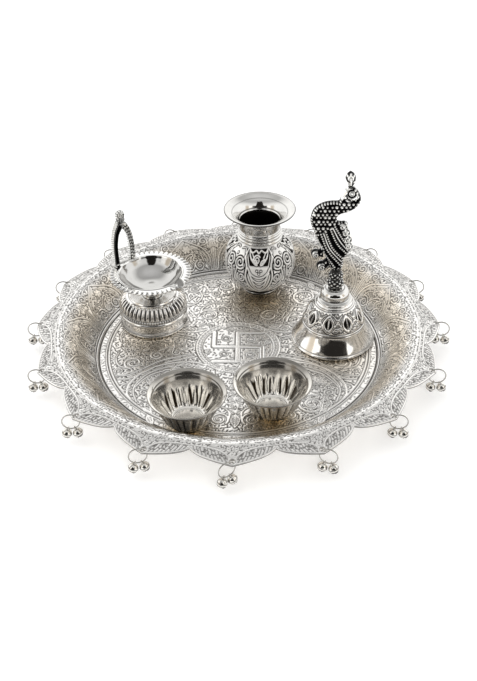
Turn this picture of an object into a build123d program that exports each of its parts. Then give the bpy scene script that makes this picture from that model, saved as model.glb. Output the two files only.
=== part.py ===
import math
import os

from build123d import *

os.makedirs("parts", exist_ok=True)

# Driving dimensions, millimetres. +Z is up, Z = 0 is the flat underside of the plate, -Y is the front.
TIP_R = 140.0            # plate centre to the point of a rim lobe
NOTCH_R = 130.0          # plate centre to the notch between two lobes
LOBES = 16               # lobes, each with a pierced tip
FLOOR_T = 1.2            # sheet thickness of the floor
SHEET_T = 1.0            # sheet thickness of the wall and rim
FLOOR_R = 97.5           # flat of the well
CREST_R, CREST_Z = 123.5, 23.5   # highest circle of the rim
TIP_Z = 20.6             # top of the sheet at the lobe tips
HOLE_R, HOLE_AT = 1.7, 137.0     # pierced hole and its distance from the centre

RING_R, RING_WIRE = 5.5, 0.45    # jump ring, mean radius and wire radius
RING_AT = 137.3          # where the wire passes the middle of the sheet
RING_DROP, RING_OUT = 4.0, 3.775  # ring centre below and beside that point
BALL_R, BALL_AT = 3.4, 9.8       # ghungroo radius and distance from the ring centre
BALL_SPREAD = 20.6       # half angle between the two ghungroo
LOOP_AT, LOOP_R, LOOP_WIRE = 5.7, 1.15, 0.3  # shank of a ghungroo
RING_TURN = [-60, 52, 40, 20, -8, -30, -42, -55, 58, 52, 40, 30, 6, -18, -40, -55]  # twist of each ring out of the radial plane, degrees

REST = 0.3               # gap under a piece that is set down on the floor
Z0 = FLOOR_T + REST
KALASH_X, KALASH_Y = 15.5, 79.0
BELL_X, BELL_Y = 67.3, 11.0
DIYA_X, DIYA_Y = -62.0, 33.0
BOWL_L_X, BOWL_L_Y = -30.0, -78.4
BOWL_R_X, BOWL_R_Y = 23.8, -67.0

KALASH_T = 1.1
BELL_T = 1.6
BOWL_T = 0.9
DIYA_T = 1.1

DISH_Z = 41.0            # lip of the lamp dish above the floor of the plate
DISH_R = 22.4            # smooth bowl of the lamp
FLANGE_R, FLANGE_TEETH = 29.3, 48
SPOUT_DEG = -36.0        # direction of the wick spout, from +X
HANDLE_DX, HANDLE_DY, HANDLE_DEG = -20.6, 16.4, 32.0
HANDLE_T = 5.5
PEACOCK_T = 7.0


def at_xz(x, y, z):
    """Upright drawing plane through a point: local x along +X, local y along +Z."""
    return Plane(origin=(x, y, z), x_dir=(1, 0, 0), z_dir=(0, -1, 0))


def offset_curve(points, distance):
    """Points moved sideways, to the left of the direction of travel."""
    moved = []
    for i, (r, z) in enumerate(points):
        r0, z0 = points[max(i - 1, 0)]
        r1, z1 = points[min(i + 1, len(points) - 1)]
        length = math.hypot(r1 - r0, z1 - z0)
        moved.append((r - distance * (z1 - z0) / length, z + distance * (r1 - r0) / length))
    return moved


# ---------------------------------------------------------------- plate
# Upper skin of the pressed sheet from the foot of the wall to beyond the tips.
wall_top = [
    (FLOOR_R, FLOOR_T), (99.4, 2.3), (101.6, 4.6), (104.8, 8.6), (108.8, 13.3), (113.0, 17.6),
    (117.0, 20.8), (120.4, 22.8), (CREST_R, CREST_Z), (127.0, 23.3), (133.0, 22.2), (TIP_R + 1.5, TIP_Z - 0.3),
]
wall_under = [(FLOOR_R + 0.4, 0.0), (100.2, 1.1), (102.4, 3.5), (105.6, 7.6), (109.7, 12.3), (113.8, 16.6),
              (117.6, 19.7), (120.8, 21.8), (CREST_R, CREST_Z - SHEET_T), (126.9, 22.3), (132.8, 21.2),
              (TIP_R + 1.5, TIP_Z - 0.3 - SHEET_T)]

with BuildPart() as thali_plate:
    with BuildSketch(Plane.XZ):
        with BuildLine():
            Line((0, 0), (wall_under[0][0], 0))
            Spline(*wall_under)
            Line(wall_under[-1], wall_top[-1])
            Spline(*wall_top)
            Line(wall_top[0], (0, FLOOR_T))
            Line((0, FLOOR_T), (0, 0))
        make_face()
    revolve(axis=Axis.Z)
    # Scalloped edge: every lobe rises from two notches to a point.
    half = 180.0 / LOBES
    with BuildSketch(Plane.XY):
        with BuildLine():
            for k in range(LOBES):
                for side in (-1, 1):
                    run = []
                    for i in range(8):
                        t = 1 - i / 7 if side < 0 else i / 7
                        f = 1 - 0.75 * t - 0.25 * t ** 6
                        r = NOTCH_R + (TIP_R - NOTCH_R) * f
                        a = math.radians(k * 2 * half + side * t * half - 90)
                        run.append((r * math.cos(a), r * math.sin(a)))
                    Spline(*run)
        make_face()
    extrude(amount=40, mode=Mode.INTERSECT)
    with Locations(*[
        (HOLE_AT * math.cos(math.radians(k * 2 * half - 90)), HOLE_AT * math.sin(math.radians(k * 2 * half - 90)), 20)
        for k in range(LOBES)
    ]):
        Cylinder(HOLE_R, 10, mode=Mode.SUBTRACT)
thali_plate.part.label = "thali_plate"
export_step(thali_plate.part, "parts/thali_plate.step")

# ---------------------------------------------------------------- jump rings with their ghungroo
for k in range(LOBES):
    phi = math.radians(k * 2 * half - 90)
    radial = Vector(math.cos(phi), math.sin(phi), 0)
    along = Vector(-math.sin(phi), math.cos(phi), 0)
    psi = math.radians(RING_TURN[k])
    out = radial * math.cos(psi) + along * math.sin(psi)
    normal = out.cross(Vector(0, 0, 1))
    sheet_mid = 22.2 - (22.2 - (TIP_Z - 0.3)) * (RING_AT - 133.0) / (TIP_R + 1.5 - 133.0) - SHEET_T / 2
    centre = radial * RING_AT + out * RING_OUT + Vector(0, 0, sheet_mid - RING_DROP)
    ring_plane = Plane(origin=centre, x_dir=out, z_dir=normal)

    with BuildPart() as jump_ring:
        with BuildSketch(Plane(origin=centre + out * RING_R, x_dir=out, z_dir=Vector(0, 0, 1))):
            Circle(RING_WIRE)
        revolve(axis=Axis(centre, normal))
    jump_ring.part.label = f"jump_ring_{k + 1:02d}"
    export_step(jump_ring.part, f"parts/jump_ring_{k + 1:02d}.step")

    with BuildPart() as ghungroo_pair:
        for side in (-1, 1):
            beta = math.radians(side * BALL_SPREAD)
            down = out * math.sin(beta) - Vector(0, 0, 1) * math.cos(beta)
            wire = out * math.cos(beta) + Vector(0, 0, 1) * math.sin(beta)
            middle = centre + down * BALL_AT
            with Locations(Location(Plane(origin=middle, x_dir=normal, z_dir=down))):
                Sphere(BALL_R)
                # sounding slit across the lower half
                with Locations((0, 0, BALL_R - 0.75)):
                    Box(0.5, 2 * BALL_R + 1, 1.5, mode=Mode.SUBTRACT)
            loop_centre = centre + down * LOOP_AT
            with BuildSketch(Plane(origin=loop_centre + down * LOOP_R, x_dir=down, z_dir=normal)):
                Circle(LOOP_WIRE)
            revolve(axis=Axis(loop_centre, wire))
    ghungroo_pair.part.label = f"ghungroo_pair_{k + 1:02d}"
    export_step(ghungroo_pair.part, f"parts/ghungroo_pair_{k + 1:02d}.step")

# ---------------------------------------------------------------- kalash
kalash_axis = Axis((KALASH_X, KALASH_Y, Z0), (0, 0, 1))
kalash_draw = at_xz(KALASH_X, KALASH_Y, Z0)

with BuildPart() as kalash_foot:
    with BuildSketch(kalash_draw):
        with BuildLine():
            Polyline((11.0, 0), (14.0, 0), (14.4, 0.6), (14.0, 1.4), (13.2, 2.0), (13.2, 3.0), (11.0, 3.0), (11.0, 0))
        make_face()
    revolve(axis=kalash_axis)
kalash_foot.part.label = "kalash_foot"
export_step(kalash_foot.part, "parts/kalash_foot.step")

pot_outer = [(13.2, 3.0), (18.2, 5.8), (22.6, 11.0), (25.5, 17.5), (26.4, 24.0), (25.6, 31.0), (22.4, 37.6), (17.0, 42.0)]
pot_inner = offset_curve(pot_outer, KALASH_T)
with BuildPart() as kalash_body:
    with BuildSketch(kalash_draw):
        with BuildLine():
            Line((0, 3.0), pot_outer[0])
            Spline(*pot_outer)
            Line(pot_outer[-1], (15.6, 43.0))
            Line((15.6, 43.0), (14.4, 43.0))
            Line((14.4, 43.0), (pot_inner[-1][0], pot_inner[-1][1]))
            Spline(*reversed(pot_inner[1:]))
            Line(pot_inner[1], (12.6, 4.1))
            Line((12.6, 4.1), (0, 4.1))
            Line((0, 4.1), (0, 3.0))
        make_face()
    revolve(axis=kalash_axis)
kalash_body.part.label = "kalash_body"
export_step(kalash_body.part, "parts/kalash_body.step")

rim_outer = [(15.4, 54.6), (15.8, 57.0), (17.3, 60.0), (20.1, 62.7), (23.6, 64.7), (26.2, 65.5)]
rim_inner = [(26.2, 66.5), (23.4, 65.7), (19.5, 63.5), (16.5, 60.3), (14.9, 57.2), (14.4, 54.6)]
with BuildPart() as kalash_neck:
    with BuildSketch(kalash_draw):
        with BuildLine():
            Polyline(
                (14.4, 43.0), (15.6, 43.0), (16.7, 44.0), (16.9, 44.8), (16.4, 45.6), (15.6, 46.1), (16.2, 46.7), (16.4, 47.3), (16.1, 47.9),
                (15.5, 48.4), (16.0, 48.9), (16.1, 49.4), (15.8, 49.9), (15.4, 50.3), (15.4, 54.6),
            )
            Spline(*rim_outer)
            Line(rim_outer[-1], rim_inner[0])
            Spline(*rim_inner)
            Line(rim_inner[-1], (14.4, 43.0))
        make_face()
    revolve(axis=kalash_axis)
kalash_neck.part.label = "kalash_neck"
export_step(kalash_neck.part, "parts/kalash_neck.step")

# ---------------------------------------------------------------- hand bell
bell_axis = Axis((BELL_X, BELL_Y, Z0), (0, 0, 1))
bell_draw = at_xz(BELL_X, BELL_Y, Z0)
cup_outer = [(29.2, 1.5), (27.3, 4.4), (24.9, 8.6), (23.2, 12.4), (22.4, 15.4), (21.8, 19.0), (20.7, 23.0), (18.6, 27.2), (15.2, 30.6), (11.4, 32.6)]
cup_inner = offset_curve(cup_outer, BELL_T)
with BuildPart() as bell_cup:
    with BuildSketch(bell_draw):
        with BuildLine():
            Line((26.9, 0), (28.0, 0))
            Line((28.0, 0), cup_outer[0])
            Spline(*cup_outer)
            Line(cup_outer[-1], (2.1, 32.6))
            Line((2.1, 32.6), (2.1, 30.6))
            Line((2.1, 30.6), cup_inner[-1])
            Spline(*reversed(cup_inner))
            Line(cup_inner[0], (26.9, 0))
        make_face()
    revolve(axis=bell_axis)
bell_cup.part.label = "bell_cup"
export_step(bell_cup.part, "parts/bell_cup.step")

with BuildPart() as bell_collar:
    with BuildSketch(bell_draw):
        with BuildLine():
            Polyline(
                (2.1, 32.6), (11.9, 32.6), (12.4, 33.2), (12.0, 34.0), (10.2, 34.6), (9.5, 35.4), (9.9, 37.2), (9.8, 39.2), (8.9, 41.0),
                (7.2, 42.3), (5.8, 42.8), (2.1, 42.8), (2.1, 32.6),
            )
        make_face()
    revolve(axis=bell_axis)
bell_collar.part.label = "bell_collar"
export_step(bell_collar.part, "parts/bell_collar.step")

with BuildPart() as bell_stem:
    with BuildSketch(bell_draw):
        with BuildLine():
            Polyline(
                (0, 27.0), (2.0, 27.0), (2.0, 42.8), (4.2, 42.8), (4.2, 43.6), (5.2, 44.8), (5.6, 46.4), (5.2, 48.0), (3.8, 49.2),
                (3.4, 50.0), (4.4, 50.9), (4.9, 52.4), (4.5, 54.0), (3.4, 55.2), (3.2, 56.2), (3.6, 57.6), (0, 57.6), (0, 27.0),
            )
        make_face()
    revolve(axis=bell_axis)
bell_stem.part.label = "bell_stem"
export_step(bell_stem.part, "parts/bell_stem.step")

# Cast bird in silhouette: tail and breast, arched neck, head turned back, crest.
bird = [
    (-3.2, 57.6), (-5.0, 60.0), (-5.6, 63.0), (-7.2, 67.0), (-9.2, 70.5), (-10.4, 75.0), (-12.9, 78.6), (-14.4, 82.5), (-15.9, 87.0),
    (-17.6, 91.0), (-18.4, 95.5), (-17.8, 100.0), (-16.0, 103.8), (-13.0, 106.4), (-9.0, 108.2), (-4.9, 108.9), (-0.4, 109.2),
    (0.9, 113.1), (2.9, 116.8), (5.2, 119.6), (4.3, 122.0), (3.0, 126.2), (6.0, 129.8), (9.3, 127.0), (9.4, 122.6), (8.2, 119.8), (10.6, 118.2),
    (12.6, 114.6), (13.7, 110.2), (13.0, 106.9), (10.6, 104.0), (6.4, 101.4), (1.2, 99.6), (-0.8, 97.6), (-0.6, 94.4), (3.2, 93.4),
    (5.0, 90.1), (6.6, 86.0), (7.4, 81.0), (9.2, 76.6), (9.0, 73.0), (6.6, 69.0), (4.8, 65.5), (4.4, 60.5), (3.0, 57.6),
]
curls = [((-14.2, 69.6), 3.1), ((-9.9, 59.9), 3.5), ((3.6, 91.0), 3.0), ((5.4, 86.2), 2.9), ((6.9, 81.0), 2.9), ((8.0, 75.8), 2.8)]
with BuildPart() as bell_peacock:
    with BuildSketch(at_xz(BELL_X, BELL_Y + PEACOCK_T / 2, Z0)):
        with BuildLine():
            Polyline(*bird, bird[0])
        make_face()
        with BuildLine():
            Polyline((-10.0, 73.6), (-13.6, 71.6), (-14.4, 68.0), (-8.8, 67.0), (-10.0, 73.6))
        make_face()
        with BuildLine():
            Polyline((-6.4, 66.6), (-10.0, 62.8), (-10.0, 57.2), (-4.0, 59.4), (-6.4, 66.6))
        make_face()
        for (cx, cz), cr in curls:
            with Locations((cx, cz)):
                Circle(cr)
    extrude(amount=PEACOCK_T)
bell_peacock.part.label = "bell_peacock"
export_step(bell_peacock.part, "parts/bell_peacock.step")

# Eye nut on the lower end of the stem, inside the cup, and the clapper that hangs in it.
EYE_Z = 24.0
with BuildPart() as bell_eye:
    with BuildSketch(bell_draw):
        with BuildLine():
            Polyline((0, 25.6), (4.0, 25.6), (4.0, 30.6), (2.05, 30.6), (2.05, 27.0), (0, 27.0), (0, 25.6))
        make_face()
    revolve(axis=bell_axis)
    with BuildSketch(Plane(origin=(BELL_X, BELL_Y, Z0 + EYE_Z - 2.3), x_dir=(0, 0, 1), z_dir=(1, 0, 0))):
        Circle(0.6)
    revolve(axis=Axis((BELL_X, BELL_Y, Z0 + EYE_Z), (0, 1, 0)))
bell_eye.part.label = "bell_eye"
export_step(bell_eye.part, "parts/bell_eye.step")

with BuildPart() as bell_clapper:
    hook_z = EYE_Z - 3.0
    with BuildSketch(Plane(origin=(BELL_X, BELL_Y, Z0 + hook_z - 1.9), x_dir=(0, 0, 1), z_dir=(0, 1, 0))):
        Circle(0.5)
    revolve(axis=Axis((BELL_X, BELL_Y, Z0 + hook_z), (1, 0, 0)))
    with Locations((BELL_X, BELL_Y, Z0 + 12.8)):
        Cylinder(0.9, 12.8)
    with Locations((BELL_X, BELL_Y, Z0 + 5.6)):
        Sphere(4.2)
bell_clapper.part.label = "bell_clapper"
export_step(bell_clapper.part, "parts/bell_clapper.step")

# ---------------------------------------------------------------- diya
diya_axis = Axis((DIYA_X, DIYA_Y, Z0), (0, 0, 1))
diya_draw = at_xz(DIYA_X, DIYA_Y, Z0)
with BuildPart() as diya_base:
    with BuildSketch(diya_draw):
        with BuildLine():
            Polyline((22.4, 0), (23.6, 0), (23.9, 0.8), (23.5, 8.6), (24.2, 9.2), (24.5, 10.0), (24.2, 10.8), (23.7, 11.4), (24.2, 12.4), (23.9, 13.4))
            Spline((23.9, 13.4), (23.9, 15.4), (22.6, 18.6), (20.2, 21.2), (17.2, 22.9))
            Polyline((17.2, 22.9), (16.9, 23.8), (16.1, 24.0), (15.6, 23.6), (15.4, 22.4), (2.1, 22.4), (2.1, 21.2), (15.6, 21.2))
            Spline((15.6, 21.2), (19.6, 19.8), (21.6, 17.9), (22.6, 15.2), (22.6, 13.4))
            Polyline((22.6, 13.4), (22.4, 10.0), (22.4, 0))
        make_face()
    revolve(axis=diya_axis)
diya_base.part.label = "diya_base"
export_step(diya_base.part, "parts/diya_base.step")

with BuildPart() as diya_stem:
    with BuildSketch(diya_draw):
        with BuildLine():
            Polyline((0, 20.0), (3.6, 20.0), (3.6, 21.2), (2.0, 21.2), (2.0, 22.4), (7.0, 22.4), (7.2, 23.2), (5.2, 24.6), (5.0, 26.2), (7.0, 27.8), (7.4, 29.0), (0, 29.0), (0, 20.0))
        make_face()
    revolve(axis=diya_axis)
diya_stem.part.label = "diya_stem"
export_step(diya_stem.part, "parts/diya_stem.step")

dish_outer = [(7.4, 29.0), (13.4, 30.8), (18.4, 34.2), (21.8, 38.4), (23.2, 40.0)]
dish_inner = [(22.4, DISH_Z), (20.9, 38.9), (17.7, 35.2), (13.0, 32.0), (7.2, 30.2)]
spout_axis = math.radians(SPOUT_DEG)
spout_dir = Vector(math.cos(spout_axis), math.sin(spout_axis), 0)
spout_side = Vector(-math.sin(spout_axis), math.cos(spout_axis), 0)
handle_axis = math.radians(HANDLE_DEG)
with BuildPart() as diya_dish:
    with BuildSketch(diya_draw):
        with BuildLine():
            Line((0, 29.0), dish_outer[0])
            Spline(*dish_outer)
            Line(dish_outer[-1], (23.4, DISH_Z))
            Line((23.4, DISH_Z), dish_inner[0])
            Spline(*dish_inner)
            Line(dish_inner[-1], (0, 30.2))
            Line((0, 30.2), (0, 29.0))
        make_face()
    revolve(axis=diya_axis)
    # Saw-tooth flange round the lip, with a tab at the back for the handle.
    with BuildSketch(Plane(origin=(DIYA_X, DIYA_Y, Z0 + DISH_Z - 1.2))):
        with BuildLine():
            teeth = []
            for i in range(FLANGE_TEETH):
                for r, shift in ((FLANGE_R - 1.7, 0.0), (FLANGE_R, 0.5)):
                    a = 2 * math.pi * (i + shift) / FLANGE_TEETH
                    teeth.append((r * math.cos(a), r * math.sin(a)))
            Polyline(*teeth, teeth[0])
        make_face()
        with Locations(Location((HANDLE_DX, HANDLE_DY, 0), (0, 0, HANDLE_DEG))):
            Rectangle(20.0, 7.6)
        Circle(23.0, mode=Mode.SUBTRACT)
    extrude(amount=1.2)
    # Wick spout: a boat-shaped nose with a channel cut down to the bowl.
    lip = Z0 + DISH_Z
    nose = [(22.4, 7.2), (25.0, 6.2), (28.8, 3.6), (31.0, 1.6), (31.0, -1.6), (28.8, -3.6), (25.0, -6.2), (22.4, -7.2)]
    foot = [(20.2, 4.6), (23.0, 4.0), (27.0, 2.0), (28.6, 0.9), (28.6, -0.9), (27.0, -2.0), (23.0, -4.0), (20.2, -4.6)]
    with BuildSketch(Plane(origin=(DIYA_X, DIYA_Y, lip), x_dir=spout_dir, z_dir=(0, 0, 1))):
        with BuildLine():
            Polyline(*nose, nose[0])
        make_face()
    with BuildSketch(Plane(origin=(DIYA_X, DIYA_Y, lip - 4.6), x_dir=spout_dir, z_dir=(0, 0, 1))):
        with BuildLine():
            Polyline(*foot, foot[0])
        make_face()
    loft()
    groove_a = [(0, -4.0), (-6.6, 0.2), (6.6, 0.2)]
    groove_b = [(0, -1.8), (-1.0, 0.2), (1.0, 0.2)]
    with BuildSketch(Plane(origin=Vector(DIYA_X, DIYA_Y, lip) + spout_dir * 15.0, x_dir=spout_side, z_dir=spout_dir)):
        with BuildLine():
            Polyline(*groove_a, groove_a[0])
        make_face()
    with BuildSketch(Plane(origin=Vector(DIYA_X, DIYA_Y, lip) + spout_dir * 32.0, x_dir=spout_side, z_dir=spout_dir)):
        with BuildLine():
            Polyline(*groove_b, groove_b[0])
        make_face()
    loft(mode=Mode.SUBTRACT)
    # Rivet holes in the tab.
    for along_tab in (-6.25, 6.25):
        with Locations((DIYA_X + HANDLE_DX + along_tab * math.cos(handle_axis), DIYA_Y + HANDLE_DY + along_tab * math.sin(handle_axis), lip - 0.6)):
            Cylinder(0.9, 3, mode=Mode.SUBTRACT)
diya_dish.part.label = "diya_dish"
export_step(diya_dish.part, "parts/diya_dish.step")

handle_draw = Plane(
    origin=Vector(DIYA_X + HANDLE_DX, DIYA_Y + HANDLE_DY, Z0) + Vector(-math.sin(handle_axis), math.cos(handle_axis), 0) * HANDLE_T / 2,
    x_dir=Vector(math.cos(handle_axis), math.sin(handle_axis), 0),
    z_dir=Vector(math.sin(handle_axis), -math.cos(handle_axis), 0),
)
arch_outer = [(7.8, 41.0), (7.9, 47.0), (7.9, 54.0), (7.4, 60.0), (6.2, 65.6), (4.4, 70.0), (2.8, 72.8), (2.8, 74.0)]
arch_inner = [(4.4, 40.5), (4.7, 47.0), (4.6, 54.0), (3.9, 59.5), (2.7, 64.2), (0.0, 68.6)]
with BuildPart() as diya_handle:
    with BuildSketch(handle_draw):
        with BuildLine():
            ring = arch_outer + [(-x, z) for x, z in reversed(arch_outer)]
            Polyline(*ring, ring[0])
        make_face()
        with BuildLine():
            gap = arch_inner + [(-x, z) for x, z in reversed(arch_inner[:-1])]
            Polyline(*gap, gap[0])
        make_face(mode=Mode.SUBTRACT)
    extrude(amount=HANDLE_T)
    for along_tab in (-6.25, 6.25):
        with Locations((DIYA_X + HANDLE_DX + along_tab * math.cos(handle_axis), DIYA_Y + HANDLE_DY + along_tab * math.sin(handle_axis), lip + 1.0)):
            Cylinder(0.9, 4.0, mode=Mode.SUBTRACT)
diya_handle.part.label = "diya_handle"
export_step(diya_handle.part, "parts/diya_handle.step")

with BuildPart() as diya_rivets:
    for along_tab in (-6.25, 6.25):
        with Locations((DIYA_X + HANDLE_DX + along_tab * math.cos(handle_axis), DIYA_Y + HANDLE_DY + along_tab * math.sin(handle_axis), 0)):
            with Locations((0, 0, lip + 0.85)):
                Cylinder(0.85, 4.1)
            with Locations((0, 0, lip - 1.7)):
                Cylinder(1.9, 1.0)
diya_rivets.part.label = "diya_rivets"
export_step(diya_rivets.part, "parts/diya_rivets.step")

finial_axis = Axis((DIYA_X + HANDLE_DX, DIYA_Y + HANDLE_DY, Z0), (0, 0, 1))
with BuildPart() as diya_finial:
    with BuildSketch(at_xz(DIYA_X + HANDLE_DX, DIYA_Y + HANDLE_DY, Z0)):
        with BuildLine():
            Polyline((0, 74.0), (3.0, 74.0), (3.1, 75.4), (2.2, 76.0), (2.2, 76.3), (3.2, 77.0), (3.7, 78.5), (3.2, 80.1), (1.9, 81.1), (0, 81.5), (0, 74.0))
        make_face()
    revolve(axis=finial_axis)
diya_finial.part.label = "diya_finial"
export_step(diya_finial.part, "parts/diya_finial.step")

# ---------------------------------------------------------------- bowls
bowl_outer = [(12.8, 0.9), (14.8, 3.4), (17.6, 8.8), (20.1, 14.3), (21.6, 17.9), (23.2, 20.6), (25.2, 21.9)]
bowl_inner = offset_curve(bowl_outer, BOWL_T)
with BuildPart() as bowl_left:
    with BuildSketch(at_xz(BOWL_L_X, BOWL_L_Y, Z0)):
        with BuildLine():
            Line((0, 0), (11.8, 0))
            Line((11.8, 0), bowl_outer[0])
            Spline(*bowl_outer)
            Line(bowl_outer[-1], bowl_inner[-1])
            Spline(*reversed(bowl_inner))
            Line(bowl_inner[0], (11.2, BOWL_T))
            Line((11.2, BOWL_T), (0, BOWL_T))
            Line((0, BOWL_T), (0, 0))
        make_face()
    revolve(axis=Axis((BOWL_L_X, BOWL_L_Y, 0), (0, 0, 1)))
bowl_left.part.label = "bowl_left"
export_step(bowl_left.part, "parts/bowl_left.step")

with BuildPart() as bowl_right:
    with BuildSketch(at_xz(BOWL_R_X, BOWL_R_Y, Z0)):
        with BuildLine():
            Line((0, 0), (11.8, 0))
            Line((11.8, 0), bowl_outer[0])
            Spline(*bowl_outer)
            Line(bowl_outer[-1], bowl_inner[-1])
            Spline(*reversed(bowl_inner))
            Line(bowl_inner[0], (11.2, BOWL_T))
            Line((11.2, BOWL_T), (0, BOWL_T))
            Line((0, BOWL_T), (0, 0))
        make_face()
    revolve(axis=Axis((BOWL_R_X, BOWL_R_Y, 0), (0, 0, 1)))
bowl_right.part.label = "bowl_right"
export_step(bowl_right.part, "parts/bowl_right.step")
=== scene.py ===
import math

import bpy
import numpy as np
from mathutils import Matrix, Vector


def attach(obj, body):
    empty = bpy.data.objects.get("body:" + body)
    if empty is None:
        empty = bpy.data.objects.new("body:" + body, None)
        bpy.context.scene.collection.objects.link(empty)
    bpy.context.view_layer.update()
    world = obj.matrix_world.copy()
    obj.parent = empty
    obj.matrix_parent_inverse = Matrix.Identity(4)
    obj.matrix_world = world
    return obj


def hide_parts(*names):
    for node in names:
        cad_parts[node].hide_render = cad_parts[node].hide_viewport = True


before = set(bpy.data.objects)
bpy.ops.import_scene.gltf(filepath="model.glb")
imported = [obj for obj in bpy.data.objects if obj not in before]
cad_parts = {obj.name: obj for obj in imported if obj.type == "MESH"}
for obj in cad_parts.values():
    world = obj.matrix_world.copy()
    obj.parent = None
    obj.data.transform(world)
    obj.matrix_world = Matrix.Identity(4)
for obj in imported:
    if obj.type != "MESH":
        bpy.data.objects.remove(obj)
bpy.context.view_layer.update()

MM = 0.001
TAU = 2 * math.pi
Z0 = 1.5
LOBES = 16
KALASH = (15.5, 79.0)
BELL = (67.3, 11.0)
DIYA = (-62.0, 33.0)
BOWL_L = (-30.0, -78.4)
BOWL_R = (23.8, -67.0)
RING_TURN = [-60, 52, 40, 20, -8, -30, -42, -55, 58, 52, 40, 30, 6, -18, -40, -55]
rng = np.random.default_rng(7)


# ------------------------------------------------------------------ curves
def curve(points, closed=False, step=0.25):
    """Smooth line through the points (Catmull-Rom), as evenly spaced points."""
    p = np.asarray(points, float)
    n = len(p)
    if closed:
        q = np.vstack([p[-1], p, p[0], p[1]])
        spans = n
    else:
        q = np.vstack([2 * p[0] - p[1], p, 2 * p[-1] - p[-2]])
        spans = n - 1
    out = []
    t = np.linspace(0, 1, 24, endpoint=False)[:, None]
    for i in range(spans):
        a, b, c, d = q[i], q[i + 1], q[i + 2], q[i + 3]
        out.append(0.5 * (2 * b + (c - a) * t + (2 * a - 5 * b + 4 * c - d) * t ** 2 + (3 * b - a - 3 * c + d) * t ** 3))
    out.append(q[spans + 1][None, :])
    return even(np.vstack(out), step)


def even(points, step):
    p = np.asarray(points, float)
    seg = np.hypot(*(p[1:] - p[:-1]).T)
    s = np.concatenate([[0], np.cumsum(seg)])
    n = max(2, int(round(s[-1] / step)) + 1)
    u = np.linspace(0, s[-1], n)
    return np.stack([np.interp(u, s, p[:, 0]), np.interp(u, s, p[:, 1])], 1)


def arc(c, r, a0, a1, step=0.25):
    n = max(3, int(abs(a1 - a0) * r / step) + 1)
    a = np.linspace(a0, a1, n)
    return np.stack([c[0] + r * np.cos(a), c[1] + r * np.sin(a)], 1)


def spiral(c, r0, r1, a0, turns, step=0.25):
    """From radius r0 at angle a0 winding in to r1; negative turns wind the other way."""
    n = max(12, int(abs(turns) * TAU * max(r0, r1) * 0.7 / step))
    t = np.linspace(0, 1, n)
    r = r0 + (r1 - r0) * t
    a = a0 + turns * TAU * t
    return np.stack([c[0] + r * np.cos(a), c[1] + r * np.sin(a)], 1)


PAISLEY = [(0, -1), (0.72, -0.72), (1, 0), (0.82, 0.72), (0.3, 1.35), (-0.3, 1.78), (-0.85, 1.85), (-0.95, 1.5),
           (-0.6, 1.3), (-0.42, 0.95), (-0.72, 0.5), (-1, 0), (-0.72, -0.72)]


def placed(points, at, size=1.0, turn=0.0, flip=False):
    p = np.asarray(points, float) * size
    if flip:
        p = p * [-1, 1]
    c, s = math.cos(turn), math.sin(turn)
    return p @ np.array([[c, s], [-s, c]]) + np.asarray(at, float)


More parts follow.
